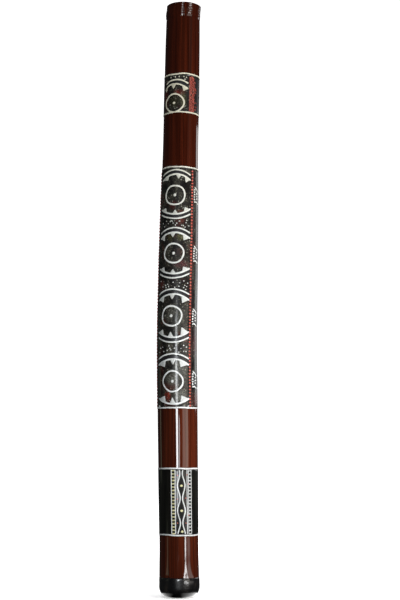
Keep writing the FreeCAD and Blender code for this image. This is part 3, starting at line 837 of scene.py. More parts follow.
# For each sun, above then below it: apex azimuth and height of the toothed arc, then of the
# plain arc; then the teeth from left to right, as azimuth and length down from the apex.
ARCS = [
    ((-12, 838.6, -13, 847.6), ((-38, 12.5), (-3.5, 10.5), (19, 17.5))),
    ((-10, 756.4, -9, 747.6), ((-43, 14), (-12, 9.5), (17, 15))),
    ((-13, 719.3, -13, 728.8), ((-46, 16.5), (-17, 10.5), (15, 16.5))),
    ((-12, 635.6, -12, 627.0), ((-44, 14.5), (-15, 9.8), (15, 14.5))),
    ((-13, 594.6, -17, 604.6), ((-44, 16.5), (-15, 11.5), (14, 18.5))),
    ((-10, 508.0, -12, 498.4), ((-44, 17), (-18, 11.8), (13, 20.5))),
    ((-9, 465.0, -9, 475.5), ((-36, 16), (-11, 12), (10, 16))),
    ((-9, 376.2, -9, 363.0), ((-37, 16.5), (-13, 13.5), (12, 17))),
]
TOOTHED_DROP = 12
PLAIN_DROP = 10.5
ARC_BENDING = 1.9
TOOTH_HALF_BASE = 9
CORNER_STEP = 1.3


def arc_height(azimuth, apex_azimuth, apex_height, side, drop):
    """Height of an arc at an azimuth; side 1 hangs its ends below the apex, side -1 above."""
    end = ARC_RIGHT if azimuth > apex_azimuth else ARC_LEFT
    share = (azimuth - apex_azimuth) / (end - apex_azimuth)
    return apex_height - side * drop * abs(share) ** ARC_BENDING


def arc_path(apex_azimuth, apex_height, side, drop):
    """Points along an arc from one end to the other."""
    path = []
    for point in range(ARC_STEPS + 1):
        azimuth = ARC_LEFT + (ARC_RIGHT - ARC_LEFT) * point / ARC_STEPS
        path.append((azimuth, arc_height(azimuth, apex_azimuth, apex_height, side, drop)))
    return path


def soft_outline(corners):
    """A corner outline with points all along it and its corners rubbed round."""
    points = []
    for start, end in zip(corners, corners[1:] + corners[:1]):
        run = Vector(end) - Vector(start)
        pieces = max(1, round(run.length / CORNER_STEP))
        points += [Vector(start) + run * piece / pieces for piece in range(pieces)]
    rubbed = []
    for place, point in enumerate(points):
        after = points[(place + 1) % len(points)]
        rubbed.append(tuple(points[place - 1] * 0.2 + point * 0.6 + after * 0.2))
    return rubbed


def paint_tooth(mesh, corners, side):
    """Fill one tooth whose corners are (azimuth, height) places."""
    middle_azimuth = sum(azimuth for azimuth, height in corners) / len(corners)
    middle_height = sum(height for azimuth, height in corners) / len(corners)
    radius = culm_radius(middle_azimuth, middle_height)
    local = [
        (math.radians(azimuth - middle_azimuth) * radius, height - middle_height)
        for azimuth, height in corners
    ]
    paint_blob(
        mesh, on_panel(middle_azimuth, side), middle_height, soft_outline(local), PAINT_RISE, material=1
    )


def thin_white_paint():
    """The same white hatched in thinly with a half-dry brush, so the ground shows through."""
    material, tree, shader = start_material("thin_white_paint", 0.6, coat=0.15, coat_roughness=0.25)
    hatch = grain(tree, 520, (1, 1, 2.2), detail=3, distortion=0.5)
    colour = tones(tree, hatch, [
        (0.3, pigment(158, 158, 150)),
        (0.5, pigment(212, 212, 206)),
        (0.7, pigment(234, 234, 230)),
    ])
    colour = blend_colours(tree, 1.0, colour, yellowed(tree), "MULTIPLY")
    tree.links.new(colour, shader.inputs["Base Color"])
    roughen(tree, shader, hatch, 0.15, 0.7)
    return material


def outline_black():
    """Black brushed between the arcs, beside the mouth panels and under the side figures."""
    material, tree, shader = start_material("outline_black", 0.45, coat=0.4, coat_roughness=0.2)
    dry = grain(tree, 300, detail=4)
    colour = tones(tree, dry, [(0.35, pigment(7, 7, 9)), (0.7, pigment(22, 21, 24))])
    tree.links.new(colour, shader.inputs["Base Color"])
    roughen(tree, shader, dry, 0.05, 0.5)
    return material


thin = thin_white_paint()
black = outline_black()
OUTLINE_RISE = 0.12
OUTLINE_WIDTH = 7.4
OUTLINE_BESIDE = OUTLINE_WIDTH * 0.62
for side in PANELS:
    toothed_mesh = bmesh.new()
    plain_mesh = bmesh.new()
    outline_mesh = bmesh.new()
    for number, ((azimuth, height, plain_azimuth, plain_height), teeth) in enumerate(ARCS):
        hang = 1 if number % 2 == 0 else -1
        seed = number + 10 + PANELS[side]
        path = path_on_panel(arc_path(azimuth, height, hang, TOOTHED_DROP), side)
        brush_stroke(toothed_mesh, path, TOOTHED_STROKE, seed, waver=0.35)
        between = [(place, level + hang * OUTLINE_BESIDE) for place, level in path]
        if min(level for place, level in between) > BANDS["body"][0] + BORDER_WIDTH:
            brush_stroke(outline_mesh, between, OUTLINE_WIDTH, seed, waver=0.3, rise=OUTLINE_RISE)
        for place, (tooth_azimuth, length) in enumerate(teeth):
            tip = (tooth_azimuth, height - hang * length)
            first = tooth_azimuth - TOOTH_HALF_BASE
            last = tooth_azimuth + TOOTH_HALF_BASE
            if place == 0:
                first, last = ARC_LEFT + 3, tooth_azimuth + 3
            if place == 2:
                first, last = tooth_azimuth - 3, ARC_RIGHT - 2
            base = [
                (spot, arc_height(spot, azimuth, height, hang, TOOTHED_DROP))
                for spot in (first, (first + last) / 2, last)
            ]
            paint_tooth(toothed_mesh, base + [tip], side)
        path = [
            (on_panel(place, side), level)
            for place, level in arc_path(plain_azimuth, plain_height, hang, PLAIN_DROP)
            if level > BANDS["body"][0] + BORDER_WIDTH / 2
        ]
        if len(path) == ARC_STEPS + 1:
            brush_stroke(plain_mesh, path, ARC_STROKE, seed + 0.5, waver=0.35)
        else:
            # The lowest plain arc runs off the band, and only its two ends show above the line.
            middle = on_panel(plain_azimuth, side)
            brush_stroke(plain_mesh, [spot for spot in path if spot[0] < middle], ARC_STROKE, seed)
            brush_stroke(plain_mesh, [spot for spot in path if spot[0] > middle], ARC_STROKE, seed)
    finish_piece(outline_mesh, f"arc_outlines_{side}", [black], "ground_paint")
    toothed_name = f"toothed_arcs_{side}"
    finish_piece(toothed_mesh, toothed_name, [white, thin], "white_paint", f"body_{side}_toothed_arcs")
    finish_piece(plain_mesh, f"plain_arcs_{side}", [white], "white_paint", f"body_{side}_plain_arcs")

# ======================================================================= body band: stars
# Small white dots pricked with the brush's end in the three gaps between the suns, where the
# plain arcs turn their backs to each other. On the back they fall a little differently.

STAR_RISE = 0.35
STAR_DRIFT = {"front": 0, "back": 2.5}
# Azimuth and height of each dot, gap by gap from the top down.
STARS = [
    (-54, 739), (-47, 732), (-33, 737.5), (-26, 741.5), (-23, 743), (-20, 742), (-17, 738), (-6, 737.5),
    (9, 733.5), (14, 733), (19, 730), (22, 739), (24, 744), (31, 733), (-40, 743), (2, 742), (-10, 734),
    (-47, 610), (-37, 612.5), (-30, 614.5), (-27, 610), (-35, 608), (-13, 618), (6, 617), (18, 621),
    (4, 610), (21, 612), (18, 607.5), (27, 610), (24, 604), (30, 617), (-57, 622), (-8, 608),
    (-53, 487), (-44, 489), (-23, 491), (-20, 486), (-17, 483), (-28, 482), (-40, 480), (-7, 486),
    (6, 478.5), (12, 486), (20, 492), (20, 480), (27, 480), (28, 489), (-58, 479), (-2, 492),
]
for side in PANELS:
    star_mesh = bmesh.new()
    for number, (azimuth, height) in enumerate(STARS):
        seed = number + PANELS[side]
        width = 1.15 + 0.5 * noise.noise(Vector((seed * 0.77, 2, 5)))
        tall = 1.2 + 0.6 * noise.noise(Vector((seed * 0.77, 8, 1)))
        place = on_panel(azimuth, side) + STAR_DRIFT[side] * noise.noise(Vector((seed, 1, 7)))
        paint_blob(star_mesh, place, height, dot_outline(width, tall, seed, 10), STAR_RISE)
    finish_piece(star_mesh, f"stars_{side}", [white], "white_paint", f"body_{side}_stars")

# ======================================================================= body band: beads
# Four upright rows of salmon-red beads of paint mark off the panels. Each row is a dark red
# line first, then one fat round dot after another while the line is still tacky.

BEAD_PITCH = 6.3
BEAD_HALF_WIDTH = 2.15
BEAD_HALF_HEIGHT = 1.9
BEAD_RISE = 1.1
BEAD_LINE_WIDTH = 5.2
BEAD_LINE_RISE = 0.2
BEAD_LINE_BESIDE = 3
BEAD_LINE_STEP = 3
# Each row's piece, the solid it stands for, the azimuth it starts from and its lean to the top.
BEAD_ROWS = [
    ("beads_front_right", "beads_front_right", 38.5, 4.5),
    ("beads_back_right", "beads_back_left", 105, 4.5),
    ("beads_back_left", "beads_back_right", 219, 3),
    ("beads_front_left", "beads_front_left", 277, -4),
]


def red_paint(name, red, green, blue):
    """Red acrylic of a given shade, darker where it thins out."""
    material, tree, shader = start_material(name, 0.4, coat=0.3, coat_roughness=0.15)
    dry = grain(tree, 260, detail=4)
    colour = tones(tree, dry, [
        (0.30, pigment(red * 0.85, green * 0.74, blue * 0.74)),
        (0.55, pigment(red, green, blue)),
        (0.75, pigment(red * 1.08, green * 1.22, blue * 1.25)),
    ])
    tree.links.new(colour, shader.inputs["Base Color"])
    roughen(tree, shader, dry, 0.08, 0.5)
    return material


def red_line_paint():
    """The dark red line under the beads."""
    material, tree, shader = start_material("red_line_paint", 0.45, coat=0.4, coat_roughness=0.2)
    dry = grain(tree, 300, (1, 1, 0.4), detail=4)
    colour = tones(tree, dry, [(0.3, pigment(18, 8, 8)), (0.7, pigment(60, 18, 13))])
    tree.links.new(colour, shader.inputs["Base Color"])
    roughen(tree, shader, dry, 0.06, 0.5)
    return material


salmon = red_paint("bead_paint", 196, 88, 70)
dark_red = red_line_paint()


def leaning(start, lean, height):
    """Azimuth of an upright row that drifts sideways towards the top of the body band."""
    bottom, top = BANDS["body"]
    return start + lean * ((height - bottom) / (top - bottom)) ** 2


for name, node, start, lean in BEAD_ROWS:
    bottom, top = BANDS["body"]
    count = int((top - bottom - BORDER_WIDTH) / BEAD_PITCH)
    first = bottom + BORDER_WIDTH / 2 + BEAD_PITCH / 2
    bead_mesh = bmesh.new()
    levels = [first + number * BEAD_PITCH for number in range(count)]
    for number, level in enumerate(levels):
        seed = number + start
        size_change = 1 + 0.12 * noise.noise(Vector((seed * 0.61, 4, 2)))
        outline = dot_outline(BEAD_HALF_WIDTH * size_change, BEAD_HALF_HEIGHT * size_change, seed)
        shift = 0.8 * noise.noise(Vector((seed * 0.31, 9, 3)))
        paint_blob(bead_mesh, leaning(start, lean, level) + shift, level, outline, BEAD_RISE)
    finish_piece(bead_mesh, name, [salmon], "red_paint", node)
    line_mesh = bmesh.new()
    beside = start + BEAD_LINE_BESIDE
    line_levels = range(int(bottom) + 2, int(top), BEAD_LINE_STEP)
    path = [(leaning(beside, lean, level), level) for level in line_levels]
    brush_stroke(line_mesh, path, BEAD_LINE_WIDTH, start, waver=0.8, rise=BEAD_LINE_RISE)
    finish_piece(line_mesh, f"line_under_{name}", [dark_red], "red_paint")

# ======================================================================= body band: side figures
# Between the panels, level with each sun, a small open figure in white on a black patch: two
# slanting bars joined by columns of dots, painted once the patch is dry.

# Where each side's figures stand, how wide they are drawn, and how they lean with the bead rows.
FIGURE_SIDES = {"right": (75, 1.0, 4), "left": (249, 0.84, -1)}
FIGURE_HEIGHTS = (799, 678, 551, 426)
BAR_WIDTH = 2.8
SPOT_RISE = 0.6
FIGURE_DOT = (2.3, 1.75)
PATCH_HALF_HEIGHT = 16
PATCH_STROKE = 5.6
PATCH_PITCH = 7.4
PATCH_POINTS = 10
# Bars and dots of one half, as steps from the figure's middle; the other half mirrors them.
FIGURE_BAR = [(-25, 15.5), (-19, 13.5), (-13, 11), (-5, 6.5)]
FIGURE_FOOT = [(-27, -15.5), (-19, -14.5), (-12, -15.5), (-4, -18)]
FIGURE_DOTS = [
    (-24.5, 10.2), (-24.5, 5.3), (-24.8, 0.2), (-25, -4.9), (-25.5, -10),
    (-12.5, 3.4), (-12.7, -2.2), (-12.5, -7.4),
]


def through(points, step=1.5):
    """A smooth freehand line through a few (azimuth, height) points."""
    line = []
    last = len(points) - 1
    for number in range(last):
        around = [Vector(points[min(max(place, 0), last)]) for place in range(number - 1, number + 3)]
        parts = max(2, round((flat(*points[number + 1]) - flat(*points[number])).length / step))
        for part in range(parts):
            share = part / parts
            spot = 0.5 * (
                2 * around[1]
                + (around[2] - around[0]) * share
                + (2 * around[0] - 5 * around[1] + 4 * around[2] - around[3]) * share ** 2
                + (3 * around[1] - around[0] - 3 * around[2] + around[3]) * share ** 3
            )
            line.append(tuple(spot))
    line.append(points[-1])
    return line


for hand, (middle, breadth, lean) in FIGURE_SIDES.items():
    bar_mesh = bmesh.new()
    spot_mesh = bmesh.new()
    patch_mesh = bmesh.new()
    for number, level in enumerate(FIGURE_HEIGHTS):
        centre = leaning(middle, lean, level)
        # First a black patch, brushed on in upright strokes that overlap.
        for stroke in range(-3, 4):
            edge = PATCH_HALF_HEIGHT + 0.8 * math.sin(stroke * 2.3 + number)
            upright = centre + stroke * PATCH_PITCH * breadth
            shares = [2 * part / PATCH_POINTS - 1 for part in range(PATCH_POINTS + 1)]
            path = [(upright, level + edge * share) for share in shares]
            brush_stroke(patch_mesh, path, PATCH_STROKE, stroke + number, waver=0.3, rise=OUTLINE_RISE)
        for mirror in (breadth, -breadth):
            for line in (FIGURE_BAR, FIGURE_FOOT):
                path = [(centre + mirror * azimuth, level + rise) for azimuth, rise in line]
                brush_stroke(bar_mesh, through(path), BAR_WIDTH, number + mirror, waver=0.4)
            for spot, (azimuth, rise) in enumerate(FIGURE_DOTS):
                seed = spot + number * 9 + mirror
                outline = dot_outline(FIGURE_DOT[0] * breadth, FIGURE_DOT[1], seed, 12)
                paint_blob(spot_mesh, centre + mirror * azimuth, level + rise, outline, SPOT_RISE)
    bars = f"side_figure_bars_{hand}"
    dots = f"side_figure_dots_{hand}"
    finish_piece(patch_mesh, f"side_figure_patches_{hand}", [black], "ground_paint")
    finish_piece(bar_mesh, bars, [white], "white_paint", bars)
    finish_piece(spot_mesh, dots, [white], "white_paint", dots)

# ======================================================================= mouth band
# One sun under two arcs, with a row of dots below the top line, in the same whites as the body
# band. Beside it is a wide strip of short slanting dashes, flicked on in red, and then a plain
# black strip.

MOUTH_SUN = (-24, 986.5, 20.6, 18.6)
MOUTH_OUTER = [
    (-57, 1027.5), (-48, 1031), (-38, 1033.6), (-27, 1034.6), (-14, 1034.8), (-3, 1034.2), (8, 1031.8),
    (23, 1027.3),
]
MOUTH_INNER = [
    (-62, 1015.5), (-55, 1020.5), (-46, 1023.8), (-34, 1026), (-21, 1026.3), (-8, 1025), (3, 1022.6),
    (13, 1019.8), (23, 1016),
]
MOUTH_BETWEEN = [
    (-58, 1022), (-46, 1028), (-34, 1030.4), (-21, 1030.6), (-8, 1029.6), (3, 1027.3), (23, 1021.6),
]
MOUTH_TEETH = [
    [(-62, 1016), (-50, 1022.5), (-55, 1010.5)],
    [(-36, 1026), (-27, 1026.5), (-17, 1026), (-27, 1015.5)],
    [(1, 1023), (12, 1020), (23, 1016), (7, 1010.5)],
]
MOUTH_STARS = [(-37, 1040.5), (-21, 1040.8), (-8, 1041), (7, 1041), (16, 1039.6), (11, 1035.5)]
DASH_START = 26
DASH_COLUMNS = 4
DASH_SPACING = 7
DASH_REACH = 7.4
DASH_FALL = 1.7
DASH_STAGGER = 1.3
DASH_PITCH = 2.9
DASH_WIDTH = 1.65
DASH_POINTS = 5
# Height of the first dash above the band's foot, and how near to its edges dashes are painted.
DASH_FIRST = 4.2
DASH_ABOVE_FOOT = 2.4
DASH_BELOW_TOP = 4
# Of the last column only the dashes whose chance is above this are painted.
LAST_COLUMN_LIMIT = 0.1
MOUTH_STAR = (1.2, 1.4)
MOUTH_STAR_RISE = 0.5
MOUTH_SUN_DOT = (3, 2.6)
MOUTH_SUN_DOT_RISE = 0.7
PLAIN_SIDE = 64
PLAIN_SIDE_WIDTH = 18
PLAIN_SIDE_STEP = 3
dash_red = red_paint("dash_paint", 164, 66, 50)


def dash_path(azimuth, height, reach, side):
    """Points along one slanting dash, from its upper left end."""
    path = []
    for part in range(DASH_POINTS + 1):
        share = part / DASH_POINTS
        path.append((on_panel(azimuth + reach * share, side), height - DASH_FALL * share))
    return path


for side in PANELS:
    bottom, top = BANDS["mouth"]
    seed = 40 + PANELS[side]
    ring_mesh = bmesh.new()
    azimuth, height, half_width, half_height = MOUTH_SUN
    path = ring_path(on_panel(azimuth, side), height, half_width, half_height)
    brush_stroke(ring_mesh, path, SUN_STROKE, seed, closed=True, waver=0.4)
    finish_piece(ring_mesh, f"mouth_sun_ring_{side}", [white], "white_paint", f"mouth_{side}_sun_ring")

    arc_mesh = bmesh.new()
    for number, line in enumerate((MOUTH_OUTER, MOUTH_INNER)):
        path = path_on_panel(through(line), side)
        brush_stroke(arc_mesh, path, ARC_STROKE, seed + number, waver=0.3)
    outline_mesh = bmesh.new()
    path = path_on_panel(through(MOUTH_BETWEEN), side)
    brush_stroke(outline_mesh, path, OUTLINE_WIDTH, seed, waver=0.3, rise=OUTLINE_RISE)
    plain_levels = range(bottom + 2, top - 1, PLAIN_SIDE_STEP)
    path = path_on_panel([(PLAIN_SIDE, level) for level in plain_levels], side)
    brush_stroke(outline_mesh, path, PLAIN_SIDE_WIDTH, seed, waver=0.8, rise=OUTLINE_RISE)
    finish_piece(outline_mesh, f"mouth_outlines_{side}", [black], "ground_paint")
    for corners in MOUTH_TEETH:
        paint_tooth(arc_mesh, corners, side)
    finish_piece(arc_mesh, f"mouth_arcs_{side}", [white, thin], "white_paint", f"mouth_{side}_arcs")

    dot_mesh = bmesh.new()
    for number, (place, level) in enumerate(MOUTH_STARS):
        outline = dot_outline(*MOUTH_STAR, number + seed, 12)
        paint_blob(dot_mesh, on_panel(place, side), level, outline, MOUTH_STAR_RISE)
    outline = dot_outline(*MOUTH_SUN_DOT, seed)
    paint_blob(dot_mesh, on_panel(azimuth, side), height, outline, MOUTH_SUN_DOT_RISE)
    finish_piece(dot_mesh, f"mouth_dots_{side}", [white], "white_paint", f"mouth_{side}_stars")

    dash_mesh = bmesh.new()
    for column in range(DASH_COLUMNS):
        lowest = bottom + DASH_FIRST - column * DASH_STAGGER
        for number, level in enumerate(levels_between(lowest, top - DASH_BELOW_TOP, DASH_PITCH)):
            chance = noise.noise(Vector((number * 0.9, column * 3.3, seed)))
            left_out = column == DASH_COLUMNS - 1 and chance < LAST_COLUMN_LIMIT
            if level > bottom + DASH_ABOVE_FOOT and not left_out:
                reach = DASH_REACH * (1 + 0.5 * chance)
                start = DASH_START + column * DASH_SPACING + 4 * chance * min(1, column)
                path = dash_path(start, level, reach, side)
                brush_stroke(dash_mesh, path, DASH_WIDTH, number + seed, waver=0.4)
    finish_piece(dash_mesh, f"mouth_dashes_{side}", [dash_red], "red_paint", f"mouth_{side}_dashes")

# ======================================================================= bell band
# Two ladders, one with cream rungs and one with thin white ones, frame a pair of white waves
# that swing apart and together. A cream dot is dropped in each lens between the waves, and
# small red marks beside them.

# Each ladder's middle azimuth, half width in degrees, rail width and rung width.
LADDERS = {"left": (-13.6, 5.6, 1.8, 2.8), "right": (35.6, 4.8, 1.3, 2.2)}
RUNG_PITCH = 6.4
RUNG_RISE = 0.33
RUNG_POINTS = 6
RUNG_GAP = 0.6
BAND_EDGE = 1.6
BAND_POINTS = 60
DIVIDER = 26.4
DIVIDER_WIDTH = 1.5
WAVE_MIDDLE = 9.2
WAVE_SPREAD = 7.2
WAVE_SWING = 3.7
WAVE_LENGTH = 48
WAVE_WIDE = 217
WAVE_STROKE = 2.2
LENS_DOT = (2.7, 2.2)
RED_MARK = (1.2, 1.0)
BELL_DOT_RISE = 0.6
LENS_DOTS = [(9.6, 217), (9.8, 168.5), (11, 128.5)]
RED_MARKS = [(-1, 237), (-2, 191), (-2, 145), (26, 238), (22.5, 193), (22.5, 145), (31, 220), (31, 160)]


def cream_paint():
    """Yellowish cream acrylic."""
    material, tree, shader = start_material("cream_paint", 0.5, coat=0.25, coat_roughness=0.2)
    dry = grain(tree, 420, detail=4)
    colour = tones(tree, dry, [
        (0.3, pigment(166, 160, 112)),
        (0.5, pigment(198, 192, 140)),
        (0.7, pigment(222, 218, 176)),
    ])
    tree.links.new(colour, shader.inputs["Base Color"])
    roughen(tree, shader, dry, 0.08, 0.5)
    return material


cream = cream_paint()
bell_low = BANDS["bell"][0] + BAND_EDGE
bell_high = BANDS["bell"][1] - BAND_EDGE
bell_levels = [bell_low + (bell_high - bell_low) * part / BAND_POINTS for part in range(BAND_POINTS + 1)]
for side in PANELS:
    seed = 70 + PANELS[side]
    rail_mesh = bmesh.new()
    for hand, (ladder, half_width, rail_width, rung_width) in LADDERS.items():
        for rail in (-half_width, half_width):
            path = path_on_panel([(ladder + rail, level) for level in bell_levels], side)
            brush_stroke(rail_mesh, path, rail_width, seed + ladder + rail)
        rung_mesh = bmesh.new()
        for level in levels_between(bell_low + rung_width / 2, bell_high - 1, RUNG_PITCH):
            path = []
            for part in range(RUNG_POINTS + 1):
                across = ladder + (2 * part / RUNG_POINTS - 1) * (half_width - RUNG_GAP)
                path.append((on_panel(across, side), level))
            brush_stroke(rung_mesh, path, rung_width, level, waver=0.25, rise=RUNG_RISE)
        rung_paint = cream if hand == "left" else thin
        finish_piece(rung_mesh, f"{hand}_ladder_rungs_{side}", [rung_paint], "cream_paint")
    finish_piece(rail_mesh, f"ladder_rails_{side}", [white], "white_paint", f"bell_{side}_ladders")

    wave_mesh = bmesh.new()
    for mirror in (-1, 1):
        path = []
        for level in bell_levels:
            swing = WAVE_SWING * math.cos(2 * math.pi * (level - WAVE_WIDE) / WAVE_LENGTH)
            path.append((on_panel(WAVE_MIDDLE + mirror * (WAVE_SPREAD + swing), side), level))
        brush_stroke(wave_mesh, path, WAVE_STROKE, seed + mirror, waver=0.4)
    finish_piece(wave_mesh, f"waves_{side}", [white], "white_paint", f"bell_{side}_waves")

    divider_mesh = bmesh.new()
    path = path_on_panel([(DIVIDER, level) for level in bell_levels], side)
    brush_stroke(divider_mesh, path, DIVIDER_WIDTH, seed + 5)
    finish_piece(divider_mesh, f"divider_{side}", [white], "white_paint", f"bell_{side}_divider")

    lens_mesh = bmesh.new()
    for number, (azimuth, height) in enumerate(LENS_DOTS):
        outline = dot_outline(*LENS_DOT, number + seed)
        paint_blob(lens_mesh, on_panel(azimuth, side), height, outline, BELL_DOT_RISE)
    finish_piece(lens_mesh, f"lens_dots_{side}", [cream], "cream_paint", f"bell_{side}_lens_dots")

    mark_mesh = bmesh.new()
    for number, (azimuth, height) in enumerate(RED_MARKS):
        outline = dot_outline(*RED_MARK, number + seed, 10)
        paint_blob(mark_mesh, on_panel(azimuth, side), height, outline, BELL_DOT_RISE)
    finish_piece(mark_mesh, f"red_marks_{side}", [salmon], "red_paint", f"bell_{side}_red_marks")

# ======================================================================= studio
# The instrument stands on a white floor under a white dome, both kept out of its gloss. A
# ceiling softbox and a key at the right light it evenly. Windows, floor strips, panels behind
# and a small high light draw the streaks in the varnish, and two low cards round off the foot.

FLOOR_RADIUS = 14
FLOOR_STEP_DOWN = 0.0004
FLOOR_GLOW_START = 0.1
FLOOR_GLOW_NEAR = 0.42
FLOOR_GLOW_END = 1.3
FLOOR_GLOW_FAR = 1.3
DOME_RADIUS = 13.5
DOME_GLOW = 1.2
# Cards on the floor beside the foot, seen only in the gloss of the rounded lacquer: first and
# last azimuth, how far out they reach, their glow, and the X in millimetres between which they
# brighten.
FOOT_CARDS = {
    "right_foot_card": (0, 180, 0.045, 3.2, 4, 36),
    "left_foot_card": (-180, 0, 0.042, 1.6, -14, -40),
}
FOOT_CARD_INNER = 0.02
FOOT_CARD_TURN = 5


def studio_white(name, glow):
    """Matt white scenery that gives off a little light of its own."""
    material, tree, shader = start_material(name, 0.8)
    shader.inputs["Base Color"].default_value = (0.92, 0.92, 0.92, 1)
    shader.inputs["Emission Color"].default_value = (1, 1, 1, 1)
    shader.inputs["Emission Strength"].default_value = glow
    return material, tree, shader


def scenery(name, mesh, material, in_reflections):
    """Add a part of the studio; what is out of reflections still shows behind the instrument."""
    data = bpy.data.meshes.new(name)
    mesh.to_mesh(data)
    mesh.free()
    piece = bpy.data.objects.new(name, data)
    bpy.context.scene.collection.objects.link(piece)
    data.materials.append(material)
    piece.visible_glossy = in_reflections
    return piece


def floor_glow(tree, shader):
    """The floor is dimmer beside the instrument, where it stands in its own shade."""
    place = tree.nodes.new("ShaderNodeTexCoord")
    distance = tree.nodes.new("ShaderNodeVectorMath")
    distance.operation = "LENGTH"
    rise = tree.nodes.new("ShaderNodeMapRange")
    rise.inputs["From Min"].default_value = FLOOR_GLOW_START
    rise.inputs["From Max"].default_value = FLOOR_GLOW_END
    rise.inputs["To Min"].default_value = FLOOR_GLOW_NEAR
    rise.inputs["To Max"].default_value = FLOOR_GLOW_FAR
    tree.links.new(place.outputs["Object"], distance.inputs[0])
    tree.links.new(distance.outputs["Value"], rise.inputs["Value"])
    tree.links.new(rise.outputs["Result"], shader.inputs["Emission Strength"])


def card_glow(tree, shader, glow, fade_start, fade_end):
    """A foot card brightens from one edge to the other and reflects nothing itself."""
    strength = tree.nodes.new("ShaderNodeMath")
    strength.operation = "MULTIPLY"
    strength.inputs[1].default_value = glow
    tree.links.new(share_along(tree, "X", fade_start, fade_end), strength.inputs[0])
    tree.links.new(strength.outputs["Value"], shader.inputs["Emission Strength"])
    shader.inputs["Base Color"].default_value = (0, 0, 0, 1)


floor_white, floor_tree, floor_shader = studio_white("floor_white", 0)
floor_glow(floor_tree, floor_shader)
for name, (first, last, reach, glow, fade_start, fade_end) in FOOT_CARDS.items():
    card_mesh = bmesh.new()
    inner = []
    outer = []
    for azimuth in range(first, last + 1, FOOT_CARD_TURN):
        turn = math.radians(azimuth)
        way = Vector((math.sin(turn), -math.cos(turn), 0))
        inner.append(card_mesh.verts.new(way * FOOT_CARD_INNER))
        outer.append(card_mesh.verts.new(way * reach))
    for place in range(len(inner) - 1):
        card_mesh.faces.new((inner[place], outer[place], outer[place + 1], inner[place + 1]))
    card_white, card_tree, card_shader = studio_white(name, 0)
    card_glow(card_tree, card_shader, glow, fade_start, fade_end)
    card = scenery(name, card_mesh, card_white, True)
    card.visible_camera = False
    card.visible_diffuse = False
    card.visible_shadow = False
floor_mesh = bmesh.new()
bmesh.ops.create_circle(floor_mesh, cap_ends=True, segments=96, radius=FLOOR_RADIUS)
bmesh.ops.translate(floor_mesh, vec=(0, 0, -FLOOR_STEP_DOWN), verts=floor_mesh.verts)
floor = scenery("floor", floor_mesh, floor_white, False)
floor.visible_diffuse = False
dome_mesh = bmesh.new()
bmesh.ops.create_uvsphere(dome_mesh, u_segments=64, v_segments=32, radius=DOME_RADIUS)
dome_white = studio_white("dome_white", DOME_GLOW)[0]
dome = scenery("dome", dome_mesh, dome_white, False)
dome.visible_diffuse = False
dome.visible_shadow = False

AIR_COLOUR = (0.9, 0.95, 1.0, 1)
AIR_BRIGHTNESS = 0.03
world = bpy.data.worlds.new("studio_air")
bpy.context.scene.world = world
world.use_nodes = True
world.node_tree.nodes["Background"].inputs["Color"].default_value = AIR_COLOUR
world.node_tree.nodes["Background"].inputs["Strength"].default_value = AIR_BRIGHTNESS

STRIP_MIDDLE = 1.1
STRIP_LENGTH = 1.4
STRIP_HEIGHT = 0.004


def soft_light(name, place, turns, size_across, size_up, brightness, colour):
    """A rectangular softbox; brightness is what its face shows, turns are in degrees."""
    data = bpy.data.lights.new(name, "AREA")
    data.shape = "RECTANGLE"
    data.size = size_across
    data.size_y = size_up
    data.energy = brightness * math.pi * size_across * size_up
    data.color = colour
    lamp = bpy.data.objects.new(name, data)
    lamp.location = place
    lamp.rotation_euler = [math.radians(turn) for turn in turns]
    lamp.visible_camera = False
    bpy.context.scene.collection.objects.link(lamp)
    return lamp


def window(name, azimuth, distance, low, high, width, brightness, colour):
    """An upright softbox that faces the culm."""
    turn = math.radians(azimuth)
    place = (distance * math.sin(turn), -distance * math.cos(turn), (low + high) / 2)
    return soft_light(name, place, (90, 0, azimuth), width, high - low, brightness, colour)


def low_strip(name, azimuth, width, brightness, colour):
    """A strip of light lying on the floor, pointing away from the culm."""
    turn = math.radians(azimuth)
    place = (STRIP_MIDDLE * math.sin(turn), -STRIP_MIDDLE * math.cos(turn), STRIP_HEIGHT)
    return soft_light(name, place, (180, 0, azimuth), width, STRIP_LENGTH, brightness, colour)


WHITE_LIGHT = (1, 1, 1)
COOL_LIGHT = (0.93, 0.97, 1)
WARM_LIGHT = (1, 0.9, 0.8)
WARMER_LIGHT = (1, 0.9, 0.78)
AMBER_LIGHT = (1, 0.78, 0.6)
GREENISH_LIGHT = (0.9, 1, 0.7)
CREAM_LIGHT = (1, 0.94, 0.88)
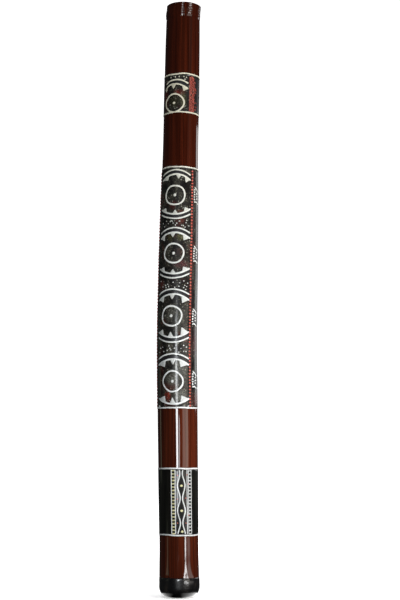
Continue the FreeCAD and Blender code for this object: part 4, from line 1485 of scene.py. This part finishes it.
# Azimuth, distance, low edge, high edge, width, brightness and colour, in metres.
WINDOWS = {
    "front_window": (-5, 2.7, 0.03, 0.82, 0.5, 24, COOL_LIGHT),
    "front_strand": (8, 2.7, 0.18, 0.42, 0.2, 10, COOL_LIGHT),
    "right_window_near": (36, 2.6, 0.0, 0.85, 0.87, 2.2, WARM_LIGHT),
    "right_window_far": (54, 2.6, 0.0, 0.85, 0.73, 2.9, WARMER_LIGHT),
    "right_window_high": (57, 2.6, 0.85, 2.7, 1.1, 0.12, AMBER_LIGHT),
    "left_strip": (-114, 2.6, 0.1, 0.7, 0.25, 0.8, GREENISH_LIGHT),
    "rear_panel_near": (129, 3, 0.5, 1.7, 0.73, 2.8, WHITE_LIGHT),
    "rear_panel_middle": (143, 3, 0.5, 1.7, 0.73, 1.3, WHITE_LIGHT),
    "rear_panel_far": (159, 3, 0.5, 1.7, 0.95, 0.6, WHITE_LIGHT),
}
# Azimuth, width, brightness and colour.
LOW_STRIPS = {
    "low_strip": (39, 0.22, 18, WHITE_LIGHT),
    "wide_low_strip": (60, 0.5, 2.0, CREAM_LIGHT),
    "left_low_strip": (-70, 0.15, 0.6, GREENISH_LIGHT),
}
ceiling = soft_light("ceiling", (0.6, 0, 3.6), (0, 0, 0), 5, 5, 1.9, WHITE_LIGHT)
right_key = window("right_key", 75, 3, 0.2, 2.4, 2, 2.0, WHITE_LIGHT)
for lamp in (ceiling, right_key):
    lamp.visible_glossy = False
for name, measures in WINDOWS.items():
    window(name, *measures)
for name, measures in LOW_STRIPS.items():
    low_strip(name, *measures)
soft_light("collar_glint", (1.67, -0.96, 3.49), (40, 0, 60), 0.8, 0.25, 50, WHITE_LIGHT)

CAMERA_LENS = 75
CAMERA_PLACE = (0.0377, -2.508, 0.2883)
CAMERA_PITCH = 6.8
CAMERA_ROLL = 0.3
SENSOR_WIDTH = 36
camera_data = bpy.data.cameras.new("camera")
camera_data.lens = CAMERA_LENS
camera_data.sensor_width = SENSOR_WIDTH
camera = bpy.data.objects.new("camera", camera_data)
pitch_turn = Matrix.Rotation(math.radians(90 + CAMERA_PITCH), 4, "X")
roll_turn = Matrix.Rotation(math.radians(CAMERA_ROLL), 4, "Z")
camera.matrix_world = Matrix.Translation(CAMERA_PLACE) @ pitch_turn @ roll_turn
bpy.context.scene.collection.objects.link(camera)
bpy.context.scene.camera = camera
bpy.context.scene.view_settings.view_transform = "Standard"
